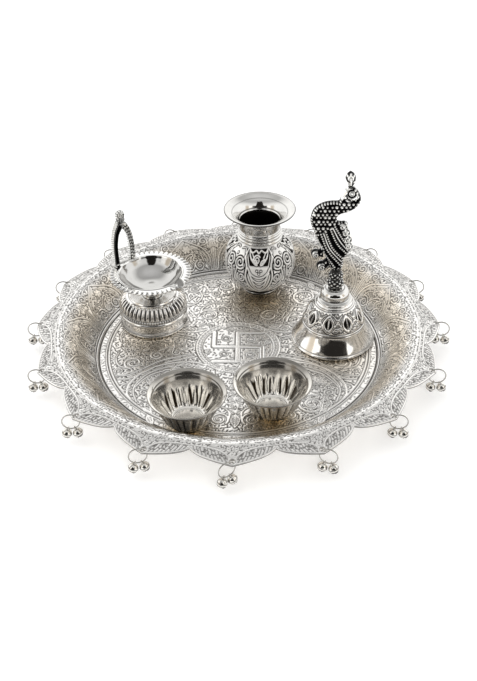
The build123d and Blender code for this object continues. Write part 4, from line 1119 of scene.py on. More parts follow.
def build_bell():
    p = Profile().straight([(26.9, 0.0), (28.0, 0.0), (29.2, 1.5)], "edge")
    outer = curve(cup_outer, step=0.32)
    p.add(outer, "out")
    p.straight([(11.4, 32.6), (2.1, 32.6), (2.1, 30.6), (10.7, 31.1)], "top")
    p.smooth([(10.7, 31.1), (13.2, 28.9), (15.8, 25.8), (17.9, 22.2), (19.4, 18.6), (20.4, 15.0), (21.5, 11.9), (23.5, 7.9), (25.9, 3.6), (26.9, 0.0)], "in", 0.8)
    seg = np.concatenate([[0], np.cumsum(np.hypot(*np.diff(outer, axis=0).T))])
    s0 = float(np.interp(14.6, outer[:, 1], seg))
    s1 = float(np.interp(31.4, outer[:, 1], seg))
    ninth = TAU * 20.5 / 9
    art = draw_bell(ninth, s1 - s0)

    def relief(zone, s, th, R, H):
        # painted shade: the inside of the cup is darkened
        if zone == "in":
            return 0 * R, 0.5 + 0 * R
        if zone != "out":
            return None
        x = ((th / TAU * 9 + 0.12) % 1.0) * ninth
        band = ((s > s0) & (s < s1))[:, None]
        h, d = art.at(np.repeat(x[None, :], len(s), 0), np.repeat((s - s0)[:, None], len(th), 1))
        ring = np.exp(-((H - 2.9) / 0.25) ** 2)
        return np.where(band, h, 0) - 0.2 * ring, np.maximum(np.where(band, d, 0), 0.5 * ring)

    lathe("bell_dome", p, BELL, 504, relief, material=BRIGHT, body="bell", replaces=["bell_cup"], slot="silver")

    p = Profile().straight([(2.1, 32.6), (11.9, 32.6), (12.4, 33.2)], "a")
    p.smooth([(12.4, 33.2), (12.0, 34.0), (10.6, 34.5), (9.6, 35.2)], "b", 0.25)
    p.smooth([(9.6, 35.2), (9.95, 37.2), (9.8, 39.2), (8.9, 41.0), (7.2, 42.3), (5.8, 42.8)], "knob", 0.3)
    p.straight([(5.8, 42.8), (4.6, 42.8), (2.1, 42.8)], "c")

    def collar(zone, s, th, R, H):
        if zone == "knob":
            ring = np.exp(-((H - 35.5) / 0.3) ** 2) + np.exp(-((R - 6.6) / 0.3) ** 2)
            return -0.15 * ring, 0.9 * np.clip(ring, 0, 1)
        return None

    lathe("bell_cap", p, BELL, 216, collar, material=SILVER, body="bell", replaces=["bell_collar"], slot="silver")

    p = Profile().straight([(0.4, 27.0), (2.0, 27.0), (2.0, 42.8), (4.2, 42.8), (4.2, 43.5)], "a")
    p.smooth([(4.2, 43.5), (5.2, 44.8), (5.6, 46.4), (5.2, 48.0), (3.8, 49.2)], "beads", 0.2)
    p.smooth([(3.8, 49.2), (3.4, 50.0), (3.9, 50.6)], "b", 0.2)
    p.smooth([(3.9, 50.6), (4.8, 51.6), (4.9, 52.8), (4.5, 54.0), (3.4, 55.2)], "beads2", 0.2)
    p.smooth([(3.4, 55.2), (3.2, 56.2), (3.6, 57.6)], "b2", 0.2)
    p.straight([(3.6, 57.6), (0.4, 57.6)], "d")

    def knurl(zone, s, th, R, H):
        if zone.startswith("beads"):
            wave = np.cos(9 * th)[None, :] * np.cos(TAU * (s - s.mean()) / 3.0)[:, None] + 0 * R
            return 0.35 * wave, np.clip(0.97 - 1.6 * (wave - 0.2), 0.0, 0.97)
        return 0 * R, 0.95 + 0 * R

    lathe("bell_turned_stem", p, BELL, 144, knurl, material=DARK, body="bell", replaces=["bell_stem"], slot="oxidised_silver")


build_bell()


# ------------------------------------------------------------------ cast flat shapes with rounded edges
def polygon_distance(x, y, poly):
    """Signed distance to a closed polygon, negative inside."""
    p = np.asarray(poly, float)
    best = np.full(x.shape, 1e9)
    inside = np.zeros(x.shape, bool)
    for (x0, y0), (x1, y1) in zip(p, np.roll(p, -1, 0)):
        dx, dy = x1 - x0, y1 - y0
        t = np.clip(((x - x0) * dx + (y - y0) * dy) / (dx * dx + dy * dy + 1e-12), 0, 1)
        best = np.minimum(best, np.hypot(x - x0 - t * dx, y - y0 - t * dy))
        if y0 != y1:
            inside ^= ((y0 > y) != (y1 > y)) & (x < dx * (y - y0) / dy + x0)
    return np.where(inside, -best, best)


def casting(name, x0, x1, y0, y1, step, dist, thick, edge, art, to_world, art_gain=1.0, **kw):
    """Two rounded faces that meet along the outline where dist is zero."""
    nx, ny = int((x1 - x0) / step) + 1, int((y1 - y0) / step) + 1
    gx, gy = np.meshgrid(x0 + np.arange(nx) * step, y0 + np.arange(ny) * step)
    d = dist(gx, gy)
    e = 0.05
    dx, dy = (dist(gx + e, gy) - dist(gx - e, gy)) / (2 * e), (dist(gx, gy + e) - dist(gx, gy - e)) / (2 * e)
    inner = d < -0.35 * step
    used = inner.copy()
    # cells that touch the shape
    cell = inner[:-1, :-1] | inner[1:, :-1] | inner[:-1, 1:] | inner[1:, 1:]
    for a, b in ((0, 0), (1, 0), (0, 1), (1, 1)):
        used[a:ny - 1 + a, b:nx - 1 + b] |= cell
    rim = used & ~inner
    n2 = np.maximum(dx ** 2 + dy ** 2, 0.25)
    px = np.where(rim, gx - dx * d / n2, gx)
    py = np.where(rim, gy - dy * d / n2, gy)
    depth = np.clip(-d / edge, 0, 1)
    half = thick / 2 * np.sqrt(np.clip(1 - (1 - depth) ** 2, 0, 1))
    h, dark = art.at(gx, gy)
    relief = h * np.clip(-d / 0.35, 0, 1) * art_gain
    half = np.where(rim, 0, np.maximum(half + relief, 0.1))
    ids = -np.ones((ny, nx), int)
    ids[used] = np.arange(used.sum())
    total = int(used.sum())
    back = ids.copy()
    keep = used & ~rim
    back[keep] = total + np.arange(keep.sum())
    v = np.vstack([np.stack([px[used], py[used], half[used]], 1), np.stack([px[keep], py[keep], -half[keep]], 1)])
    oxide_and_painted_light = np.concatenate([dark[used], dark[keep]])
    j, i = np.nonzero(cell)
    f1 = np.stack([ids[j, i], ids[j, i + 1], ids[j + 1, i + 1], ids[j + 1, i]], 1)
    f2 = np.stack([back[j, i], back[j + 1, i], back[j + 1, i + 1], back[j, i + 1]], 1)
    sx, sy = (x1 - x0), (y1 - y0)
    scale = 0.98 / max(2 * sx, sy)
    corners = [(0, 0), (1, 0), (1, 1), (0, 1)]
    uv1 = np.stack([np.stack([(i + a) * step * scale, (j + b) * step * scale], 1) for a, b in corners], 1)
    uv2 = np.stack([np.stack([(i + a) * step * scale + sx * scale, (j + b) * step * scale], 1) for b, a in corners], 1)
    return mesh_of(name, to_world(v), [f1, f2], oxide_and_painted_light, [uv1, uv2], **kw)


bird = [
    (-3.2, 57.6), (-5.0, 60.0), (-5.6, 63.0), (-7.2, 67.0), (-9.2, 70.5), (-10.4, 75.0), (-12.9, 78.6), (-14.4, 82.5), (-15.9, 87.0),
    (-17.6, 91.0), (-18.4, 95.5), (-17.8, 100.0), (-16.0, 103.8), (-13.0, 106.4), (-9.0, 108.2), (-4.9, 108.9), (-0.4, 109.2),
    (0.9, 113.1), (2.9, 116.8), (5.2, 119.6), (4.3, 122.0), (3.0, 126.2), (6.0, 129.8), (9.3, 127.0), (9.4, 122.6), (8.2, 119.8), (10.6, 118.2),
    (12.6, 114.6), (13.7, 110.2), (13.0, 106.9), (10.6, 104.0), (6.4, 101.4), (1.2, 99.6), (-0.8, 97.6), (-0.6, 94.4), (3.2, 93.4),
    (5.0, 90.1), (6.6, 86.0), (7.4, 81.0), (9.2, 76.6), (9.0, 73.0), (6.6, 69.0), (4.8, 65.5), (4.4, 60.5), (3.0, 57.6),
]
bird_smooth = curve(bird, closed=True, step=0.5)


def bird_distance(x, y):
    d = polygon_distance(x, y, bird_smooth)
    for poly in ([(-10.0, 73.6), (-13.6, 71.6), (-14.4, 68.0), (-8.8, 67.0)], [(-6.4, 66.6), (-10.0, 62.8), (-10.0, 57.2), (-4.0, 59.4)]):
        d = np.minimum(d, polygon_distance(x, y, poly))
    for (cx, cy), r in (((-14.2, 69.6), 3.1), ((-9.9, 59.9), 3.5), ((3.6, 91.0), 3.0), ((5.4, 86.2), 2.9), ((6.9, 81.0), 2.9), ((8.0, 75.8), 2.8)):
        d = np.minimum(d, np.hypot(x - cx, y - cy) - r)
    return d


def draw_bird():
    b = Relief(-20, 16, 56, 132, 0.1)
    kw = dict(lift=0.55, groove=0.4, depth=0.3)
    # round beads over the breast and neck
    rows = []
    for j in range(-16, 16):
        for i in range(-13, 15):
            rows.append((i * 2.9 + (j % 2) * 1.45 - 6, 98 + j * 2.5))
    pts = np.array(rows)
    d = bird_distance(pts[:, 0], pts[:, 1])
    body = (pts[:, 1] > 84.5 + 0.35 * (pts[:, 0] + 16)) & (pts[:, 0] < 12.4) & (pts[:, 1] < 111.5) & ~((pts[:, 0] > -2) & (pts[:, 1] < 97.5))
    pick = (np.arange(len(pts)) * 7919) % 101
    pts = pts + np.stack([np.sin(pick * 1.7), np.cos(pick * 2.3)], 1) * 0.34
    for n, size in enumerate((0.5, 0.64, 0.86)):
        b.dots(pts[(d < -1.0) & body & (pick % 3 == n)], size, 0.7 + 0.35 * size, 0.3, 0.35)
    # tail feathers: ropes of small beads that sweep down and back
    starts = [(-14.4, 84.4), (-11.3, 85.8), (-8.2, 87.4), (-5.2, 89.4), (-2.2, 91.4)]
    mids = [(-9.4, 72.4), (-6.5, 73.4), (-3.4, 75.4), (-0.4, 78.6), (2.4, 83.2)]
    ends = [(-1.4, 60.4), (1.9, 62.6), (4.6, 66.2), (6.6, 70.4), (7.4, 75.6)]
    lines = [curve([a, m, e]) for a, m, e in zip(starts, mids, ends)]
    for n, l in enumerate(lines):
        b.dots(even(l, 1.75), 0.48, 0.8, 0.3, 0.3)
        if n in (2, 4):
            b.stroke((lines[n - 1][np.linspace(0, len(lines[n - 1]) - 1, 40).astype(int)] + l[np.linspace(0, len(l) - 1, 40).astype(int)]) / 2, 0.26, 0.2, lift=0.4, groove=0.4, depth=0.35)
    for c, r in (((2.6, 91.0), 1.9), ((4.6, 86.2), 2.0), ((6.0, 81.0), 2.0), ((7.0, 76.0), 1.9)):
        b.stroke(spiral(c, r, 0.5, 2.4, -1.5), 0.36, 0.28, **kw)
        b.stroke(arc((c[0] + 0.8, c[1]), r + 0.75, -1.25, 1.25), 0.34, 0.26, **kw)
        b.dots([(c[0] + 2.3, c[1] + 1.0), (c[0] + 2.0, c[1] - 1.6)], 0.4, 0.45)
    # curls of the lower edge
    b.stroke(spiral((-14.2, 69.6), 2.3, 0.5, 1.2, 1.5), 0.32, 0.26, **kw)
    b.stroke(spiral((-9.9, 59.9), 2.6, 0.5, 1.0, 1.6), 0.34, 0.28, **kw)
    b.dots([(-10.6, 70.4), (-8.6, 67.2), (-7.2, 63.6), (-5.6, 60.4), (-2.6, 59.2), (1.2, 59.4), (3.0, 61.4)], 0.5, 0.5)
    # head: ringed eye, bright beak, crest
    x, y = b.grid()
    head = (np.hypot(x - 7.2, y - 114.6) < 5.4) & (y > 109.6)
    b.furrow(arc((7.5, 115.3), 2.5, 0, TAU), 0.3, 0.5, 0.4)
    b.dots([(7.5, 115.3)], 0.9, 0.7, 0.5, 0.5)
    b.furrow(curve([(1.4, 110.6), (5.0, 111.2), (8.8, 110.0), (12.6, 111.4)]), 0.3, 0.5, 0.4)
    b.furrow(curve([(4.6, 119.2), (8.4, 118.8), (11.4, 115.6), (12.4, 111.8)]), 0.22, 0.5, 0.3)
    b.furrow(curve([(2.8, 115.6), (4.2, 113.6), (4.8, 111.6)]), 0.22, 0.5, 0.3)
    b.stroke(curve([(3.6, 116.2), (2.0, 113.6), (1.2, 110.8)]), 1.1, 0.6, lift=0.5, groove=0.4, depth=0.3)
    b.stroke(curve([(5.6, 121.2), (6.4, 123.2), (6.2, 125.0)]), 0.6, **kw)
    b.stroke(arc((6.2, 126.0), 1.5, 0, TAU), 0.42, **kw)
    b.dots([(6.2, 126.0)], 0.7, 0.7)
    b.dots([(4.2, 127.4), (6.2, 128.6), (8.2, 127.4), (4.6, 122.6), (8.4, 123.4), (6.4, 121.6)], 0.6, 0.7)
    b.dots([(9.6, 117.4), (10.9, 115.4), (11.6, 112.8), (4.6, 118.6)], 0.62, 0.5)
    # outline bead
    for off, size in ((0.75, 0.5),):
        p = bird_smooth
        t = np.gradient(p, axis=0)
        t /= np.hypot(t[:, 0], t[:, 1])[:, None]
        nrm = np.stack([t[:, 1], -t[:, 0]], 1)
        inner = p + nrm * off
        if polygon_distance(inner[:1, 0], inner[:1, 1], bird_smooth)[0] > 0:
            inner = p - nrm * off
        inner = inner[::4]
        keep = (bird_distance(inner[:, 0], inner[:, 1]) < -0.8 * off) & (inner[:, 1] < 110)
        b.dots(inner[keep], size, 0.5, 0.3, 0.3)
    b.tint[:] = 1.0
    b.tint[head] = 0.06
    b.done(1)
    return b


def upright(v):
    return np.stack([BELL[0] + v[:, 0], BELL[1] - v[:, 2], Z0 + v[:, 1]], 1)


casting("peacock", -19.2, 15.0, 56.6, 131.0, 0.26, bird_distance, 6.4, 3.0, draw_bird(), upright, material=DARK, body="bell", replaces=["bell_peacock"], slot="oxidised_silver")

# ------------------------------------------------------------------ diya
def build_diya():
    p = Profile().straight([(22.4, 0.0), (23.9, 0.0), (24.3, 0.5), (24.3, 1.3)], "foot")
    p.smooth([(24.3, 1.3), (23.7, 2.3), (23.2, 4.2), (23.15, 6.2), (23.5, 8.4)], "band", 0.25)
    p.smooth([(23.5, 8.4), (24.1, 8.9), (24.6, 9.9), (24.2, 10.9), (23.6, 11.3)], "ring", 0.25)
    p.smooth([(23.6, 11.3), (24.2, 11.9), (24.4, 12.5), (24.2, 13.1), (23.7, 13.6)], "beads", 0.2)
    p.smooth([(23.7, 13.6), (23.9, 15.4), (22.6, 18.6), (20.2, 21.2), (17.2, 22.9)], "flutes", 0.35)
    p.straight([(17.2, 22.9), (16.9, 23.8), (16.1, 24.0), (15.6, 23.6), (15.4, 22.4), (9.0, 22.4), (2.1, 22.4)], "rim")
    p.straight([(2.1, 22.4), (2.1, 21.2), (15.6, 21.2)], "under")
    p.smooth([(15.6, 21.2), (19.6, 19.8), (21.6, 17.9), (22.6, 15.2), (22.4, 11.0), (22.4, 0.0)], "in", 0.8)

    def relief(zone, s, th, R, H):
        if zone == "band":
            rings = sum(np.exp(-((H - h) / 0.24) ** 2) for h in (1.7, 8.2))
            return -0.12 * rings, 0.9 * rings
        if zone == "beads":
            w = np.cos(84 * th)[None, :] + 0 * R
            return 0.18 * w, 0.25 + 0.6 * np.clip(-w, 0, 1)
        if zone == "flutes":
            w = np.cos(42 * th)[None, :] + 0 * R
            shape = np.sign(w) * np.abs(w) ** 0.55
            fade = np.clip((H - 14.0) / 1.2, 0, 1) * np.clip((22.2 - H) / 0.8, 0, 1)
            return 0.55 * shape * fade, (np.clip(-shape, 0, 1) ** 1.5) * fade
        # painted shade: the top under the dish is darkened inside radius 15.3, and the inside of the pedestal
        # throughout
        if zone == "rim":
            return 0 * R, np.where((R < 15.3), 0.25, 0.0)
        if zone == "in":
            return 0 * R, 0.4 + 0 * R
        return None

    lathe("diya_pedestal", p, DIYA, 672, relief, material=BRIGHT, body="diya", replaces=["diya_base"], slot="silver")

    p = Profile().straight([(0.4, 20.0), (3.6, 20.0), (3.6, 21.2), (2.0, 21.2), (2.0, 22.4), (6.8, 22.4)], "a")
    p.smooth([(6.8, 22.4), (7.2, 23.0), (6.2, 23.9), (5.2, 24.6), (5.0, 26.0), (6.0, 27.2), (7.2, 28.2), (7.4, 29.0)], "b", 0.3)
    p.straight([(7.4, 29.0), (0.4, 29.0)], "c")
    lathe("diya_turned_stem", p, DIYA, 96, None, material=SILVER, body="diya", replaces=["diya_stem"], slot="silver")

    # dish: a smooth bowl drawn out into a spout, with a toothed flange
    cols = 768
    th = np.arange(cols) / cols * TAU
    spout = math.radians(-36.0)
    delta = (th - spout + math.pi) % TAU - math.pi

    def reach(stations, widths):
        """How far a ray from the centre runs before it leaves the nose of the spout."""
        rho = np.arange(19.0, 33.0, 0.04)
        along, side = rho[None, :] * np.cos(delta)[:, None], np.abs(rho[None, :] * np.sin(delta)[:, None])
        w = np.interp(along, stations, widths, left=0, right=-1)
        ok = (side <= w) & (np.abs(delta)[:, None] < 0.6)
        return np.where(ok, rho[None, :], 0).max(1)

    lip_nose = reach([18.0, 22.4, 25.0, 28.8, 30.2, 30.3], [7.2, 6.0, 5.0, 2.4, 0.8, 0.0])
    out_nose = reach([18.0, 22.4, 25.0, 28.8, 31.0, 31.05], [8.0, 7.2, 6.2, 3.6, 1.6, 0.0])
    foot_nose = reach([18.0, 20.2, 23.0, 27.0, 28.6, 28.65], [5.4, 4.6, 4.0, 2.0, 0.9, 0.0])
    lip = np.maximum(22.4, lip_nose)
    bowl_r = np.array([0.0, 7.2, 13.0, 17.7, 20.9, 22.4])
    inner = curve([(0, 30.2), (7.2, 30.2), (13.0, 32.0), (17.7, 35.2), (20.9, 38.9), (22.4, 41.0)], step=0.4)
    rows, hs, oxide_and_painted_light = [], [], []

    def row(r, h, c=0.0):
        rows.append(np.broadcast_to(np.asarray(r, float), (cols,)).copy())
        hs.append(np.broadcast_to(np.asarray(h, float), (cols,)).copy())
        oxide_and_painted_light.append(np.broadcast_to(np.asarray(c, float), (cols,)).copy())

    # painted reflection: the inside of the dish is evenly greyed below its lip
    for r, h in inner[1:-1]:
        stretch = r / 22.4
        row(lip * stretch, h, 0.36 if h < 40.4 else 0.1)
    tooth = np.abs(((th * 48 / TAU) % 1.0) - 0.5) * 2
    saw = 27.5 + 1.8 * (1 - tooth) ** 0.85
    edge = np.maximum(saw, out_nose + 0.05)
    ray = np.cos(th * 48 + math.pi)
    for q, h in ((0.0, 41.0), (0.12, 41.35), (0.26, 41.35), (0.36, 41.0), (0.46, 40.9)):
        row(lip + q * np.minimum(2.6, edge - lip), h, 0.9 if q in (0.36,) else 0.0)
    inner_edge = lip + 0.46 * np.minimum(2.6, edge - lip)
    for q in np.linspace(0.1, 1.0, 12):
        row(inner_edge + q * (edge - inner_edge), 40.9 + 0.26 * ray * min(1, max(0, q - 0.3) * 2.4) - 0.1 * q, min(1, max(0, q - 0.35) * 2.0) * np.clip(-ray, 0, 1) ** 2)
    row(edge + 0.06, 40.4, 0.1)
    row(edge, 39.9, 0.1)
    # painted shade: the underside of the flange is darkened
    for q in (0.7, 0.4, 0.1):
        base = np.maximum(23.2, out_nose * 0.97)
        row(base + q * np.maximum(edge - base, 0), 39.8, 0.3)
    outside = curve([(23.2, 39.9), (21.8, 38.4), (18.4, 34.2), (13.4, 30.8), (7.4, 29.0)], step=0.6)
    for r, h in outside:
        m = np.clip((h - 36.4) / (41 - 36.4), 0, 1)
        nose = (foot_nose + (out_nose - foot_nose) * m) if h > 36.4 else foot_nose * max(0, 1 - (36.4 - h) / 3.0)
        row(np.maximum(r, nose), h, 0.1)
    row(3.0, 29.0, 0.1)
    R, H = np.array(rows), np.array(hs)
    x, y = DIYA[0] + R * np.cos(th), DIYA[1] + R * np.sin(th)
    v = np.stack([x, y, Z0 + H], -1).reshape(-1, 3)
    q, uv = grid_faces(len(rows), cols, True)
    c0, c1 = len(v), len(v) + 1
    v = np.vstack([v, [[DIYA[0], DIYA[1], Z0 + 30.2]], [[DIYA[0], DIYA[1], Z0 + 29.0]]])
    j = np.arange(cols)
    k = (j + 1) % cols
    last = (len(rows) - 1) * cols
    t0 = np.stack([np.full(cols, c0), j, k], 1)
    t1 = np.stack([last + j, np.full(cols, c1), last + k], 1)
    uv0 = np.stack([np.stack([(j + 0.5) / cols, 0 * j], 1), np.stack([j / cols, 0 * j], 1), np.stack([(j + 1) / cols, 0 * j], 1)], 1)
    uv1 = np.stack([np.stack([j / cols, 0 * j + 1.0], 1), np.stack([(j + 0.5) / cols, 0 * j + 1.0], 1), np.stack([(j + 1) / cols, 0 * j + 1.0], 1)], 1)
    mesh_of("diya_bowl", v, [q[:, ::-1], t0, t1], np.concatenate([np.array(oxide_and_painted_light).ravel(), [0.36, 0.1]]), [uv[:, ::-1], uv0, uv1], DISH, "diya", ["diya_dish"], "silver")

    # tab under the foot of the handle
    hx, hy, turn = DIYA[0] - 20.6, DIYA[1] + 16.4, math.radians(32)
    ca, sa = math.cos(turn), math.sin(turn)
    outline = curve([(-9.8, -3.4), (0, -3.7), (9.8, -3.4), (10.0, 0), (9.8, 3.4), (0, 3.7), (-9.8, 3.4), (-10.0, 0)], closed=True, step=0.5)[:-1]
    levels = [(0.96, 39.85), (1.0, 40.1), (1.0, 40.75), (0.97, 41.0)]
    rings = []
    for sc, h in levels:
        o = outline * sc
        rings.append(np.stack([hx + o[:, 0] * ca - o[:, 1] * sa, hy + o[:, 0] * sa + o[:, 1] * ca, np.full(len(o), Z0 + h)], 1))
    m = len(outline)
    v = np.vstack(rings + [[[hx, hy, Z0 + 39.85]], [[hx, hy, Z0 + 41.0]]])
    q, uv = grid_faces(len(levels), m, True)
    j = np.arange(m)
    k = (j + 1) % m
    t0 = np.stack([k, j, np.full(m, 4 * m)], 1)
    t1 = np.stack([3 * m + j, 3 * m + k, np.full(m, 4 * m + 1)], 1)
    mesh_of("diya_tab", v, [q, t0, t1], np.full(len(v), 0.15), None, SILVER, "diya", (), "silver")

    # handle: pointed arch
    arch_outer = [(7.8, 41.0), (7.9, 47.0), (7.9, 54.0), (7.4, 60.0), (6.2, 65.6), (4.4, 70.0), (2.8, 72.8), (2.8, 74.0)]
    arch_inner = [(4.4, 40.5), (4.7, 47.0), (4.6, 54.0), (3.9, 59.5), (2.7, 64.2), (0.0, 68.6)]
    ro = curve(arch_outer, step=0.6)
    solid = np.vstack([ro, (ro * [-1, 1])[::-1]])
    ri = curve(arch_inner, step=0.6)
    gap = np.vstack([ri, (ri * [-1, 1])[::-1][1:]])

    def dist(a, b):
        return np.maximum(polygon_distance(a, b, solid), -polygon_distance(a, b, gap))

    def to_world(v):
        return np.stack([hx + v[:, 0] * ca + v[:, 2] * sa, hy + v[:, 0] * sa - v[:, 2] * ca, Z0 + v[:, 1]], 1)

    # the strap runs up one leg, over the top and down the other; each cross-section is a rounded block
    mo, mi = even(curve(arch_outer[:-1], step=0.1), 0.1), even(curve([(4.4, 41.0)] + arch_inner[1:], step=0.1), 0.1)
    count = 150
    a = mo[np.linspace(0, len(mo) - 1, count).astype(int)]
    b = mi[np.linspace(0, len(mi) - 1, count).astype(int)]
    a = np.vstack([a, (a * [-1, 1])[::-1]])
    b = np.vstack([b, (b * [-1, 1])[::-1]])
    run = np.concatenate([[0], np.cumsum(np.hypot(*np.diff((a + b) / 2, axis=0).T))])
    # across: outer side, front, inner side, back
    t = 2.75
    section = []
    for n in range(16):
        section.append((0.0, -t + 0.35 + (2 * t - 0.7) * n / 15, "o"))
    for n in range(9):
        section.append((0.12 + 0.76 * n / 8, t, "f"))
    for n in range(16):
        section.append((1.0, t - 0.35 - (2 * t - 0.7) * n / 15, "i"))
    for n in range(9):
        section.append((0.88 - 0.76 * n / 8, -t, "b"))
    P, C = [], []
    for q, z, kind in section:
        mid = a + (b - a) * q
        push = (a - b) / np.maximum(np.hypot(*(a - b).T), 0.4)[:, None]
        dark = np.full(len(a), 1.0)
        if kind in "oi":
            bead = np.zeros(len(a))
            for lane, shift in ((-1.45, 0.0), (0.0, 0.5), (1.45, 0.0)):
                along = ((run / 1.6 + shift) % 1.0 - 0.5) * 1.6
                bead = np.maximum(bead, np.sqrt(np.clip(1 - (along ** 2 + (z - lane) ** 2) / 0.5, 0, 1)))
            mid = mid + push * (bead * 0.42 - 0.1)[:, None] * (1 if kind == "o" else -1)
            dark = np.where(bead > 0.3, 0.0, 1.0)
        elif kind == "f":
            along = (run / 2.6 + (0.5 if q > 0.5 else 0.0)) % 1.0
            pearl = np.where((np.abs(along - 0.5) < 0.3) & (np.abs(q - 0.5) > 0.08), 0.0, 1.0)
            dark = np.where(np.arange(len(a)) < len(a) // 2, pearl, 1.0 if 0.2 < q < 0.8 else 0.8)
        else:
            along = (run / 2.6 + (0.5 if q > 0.5 else 0.0)) % 1.0
            dark = np.where((np.abs(along - 0.5) < 0.3) & (np.abs(q - 0.5) > 0.08), 0.0, 1.0)
        P.append(np.stack([mid[:, 0], mid[:, 1], np.full(len(a), z)], 1))
        C.append(dark)
    P, C = np.array(P), np.array(C)
    m, cnt = P.shape[:2]
    q, uv = grid_faces(cnt, m, True)
    v = P.transpose(1, 0, 2).reshape(-1, 3)
    c = C.T.reshape(-1)
    ends = []
    euv = []
    extra = []
    for row, flip in ((0, False), (cnt - 1, True)):
        extra.append(v[row * m:(row + 1) * m].mean(0))
        j = np.arange(m)
        k = (j + 1) % m
        top = np.full(m, len(v) + len(extra) - 1)
        ends.append(np.stack([row * m + j, top, row * m + k] if flip else [row * m + k, top, row * m + j], 1))
        euv.append(np.zeros((m, 3, 2)) + [0.5, 1.0 if flip else 0.0])
    v = np.vstack([v, extra])
    c = np.concatenate([c, [0.9, 0.9]])
    mesh_of("diya_arch", to_world(v), [q] + ends, c, [uv] + euv, DARK, "diya", ["diya_handle"], "oxidised_silver")

    # finial: a collar and a round flower with a spiral on both faces
    p = Profile().straight([(0.4, 73.9), (3.0, 74.0), (3.15, 74.7), (3.05, 75.4), (2.2, 75.9), (1.9, 76.6), (0.4, 76.8)], "collar")
    lathe("finial_collar", p, (hx, hy), 96, lambda zone, s, th, R, H: (0.12 * np.cos(14 * th)[None, :] * np.clip(R - 2.2, 0, 1), 0.75 + 0.25 * np.cos(14 * th + math.pi)[None, :] + 0 * R), material=DARK, body="diya", slot="oxidised_silver")
    art = Relief(-5, 5, 73, 83, 0.08)
    mid = (0.0, 78.3)
    art.stroke(spiral(mid, 2.2, 0.3, 0.6, 1.7), 0.36, 0.3, lift=0.5, groove=0.3, depth=0.3)
    for n in range(11):
        an = n / 11 * TAU
        art.dots([(3.05 * math.cos(an), 78.3 + 3.05 * math.sin(an))], 0.62, 0.5, 0.3, 0.3)
    art.tint[:] = 1.0
    art.done(1)

    def round_flower(x, y):
        an = np.arctan2(y - 78.3, x)
        return np.hypot(x, y - 78.3) - (3.5 + 0.22 * np.cos(11 * an))

    casting("finial_flower", -4.2, 4.2, 74.2, 82.4, 0.14, round_flower, 3.6, 1.6, art, to_world, material=DARK, body="diya", replaces=["diya_finial"], slot="oxidised_silver")


build_diya()


# ------------------------------------------------------------------ carried-over nodes
def dress(node, material):
    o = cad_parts[node]
    o.data.materials.clear()
    o.data.materials.append(material)


for node in ("bell_eye", "bell_clapper", "diya_rivets"):
    dress(node, SILVER)

# ------------------------------------------------------------------ stage
floor_me = bpy.data.meshes.new("floor")
floor_me.from_pydata([(-6, -6, 0), (6, -6, 0), (6, 6, 0), (-6, 6, 0)], [], [(0, 1, 2, 3)])
floor = bpy.data.objects.new("floor", floor_me)
floor.location = (0, 0, -0.0002)
bpy.context.scene.collection.objects.link(floor)
fm = bpy.data.materials.new("floor_white")
fm.use_nodes = True
fb = fm.node_tree.nodes["Principled BSDF"]
fb.inputs["Base Color"].default_value = (0.92, 0.92, 0.92, 1)
fb.inputs["Emission Color"].default_value = (1, 1, 1, 1)
fb.inputs["Emission Strength"].default_value = 0.20
fb.inputs["Roughness"].default_value = 0.6
fb.inputs["Specular IOR Level"].default_value = 0.2
floor_me.materials.append(fm)

scene = bpy.context.scene
scene.view_settings.view_transform = "Standard"
scene.view_settings.look = "None"
scene.view_settings.exposure = 0.0

world = bpy.data.worlds.new("studio")
scene.world = world
world.use_nodes = True
nt = world.node_tree
nt.nodes.clear()
wo = nt.nodes.new("ShaderNodeOutputWorld")
bg = nt.nodes.new("ShaderNodeBackground")
tc = nt.nodes.new("ShaderNodeTexCoord")
sep = nt.nodes.new("ShaderNodeSeparateXYZ")
nt.links.new(tc.outputs["Generated"], sep.inputs[0])
ramp = nt.nodes.new("ShaderNodeValToRGB")
cr = ramp.color_ramp
cr.elements[0].position = 0.0
cr.elements[0].color = (0.85, 0.845, 0.84, 1)
cr.elements[1].position = 1.0
cr.elements[1].color = (0.80, 0.80, 0.80, 1)
for pos, val in ((0.5, 1.05), (0.58, 1.25), (0.8, 1.25), (0.86, 1.0), (0.915, 0.58), (0.955, 0.62)):
    e = cr.elements.new(pos)
    e.color = (val, val, val * 0.99, 1)
mr = nt.nodes.new("ShaderNodeMapRange")
mr.inputs["From Min"].default_value = -1
mr.inputs["From Max"].default_value = 1
nt.links.new(sep.outputs["Z"], mr.inputs["Value"])
nt.links.new(mr.outputs["Result"], ramp.inputs["Fac"])
# dark and bright upright panels on the near side of the studio, for contrast in the polished metal
def maths(kind, a, b=None):
    node = nt.nodes.new("ShaderNodeMath")
    node.operation = kind
    for socket, value in zip(node.inputs, (a, b)):
        if value is None:
            continue
        if isinstance(value, (int, float)):
            socket.default_value = value
        else:
            nt.links.new(value, socket)
    return node.outputs[0]


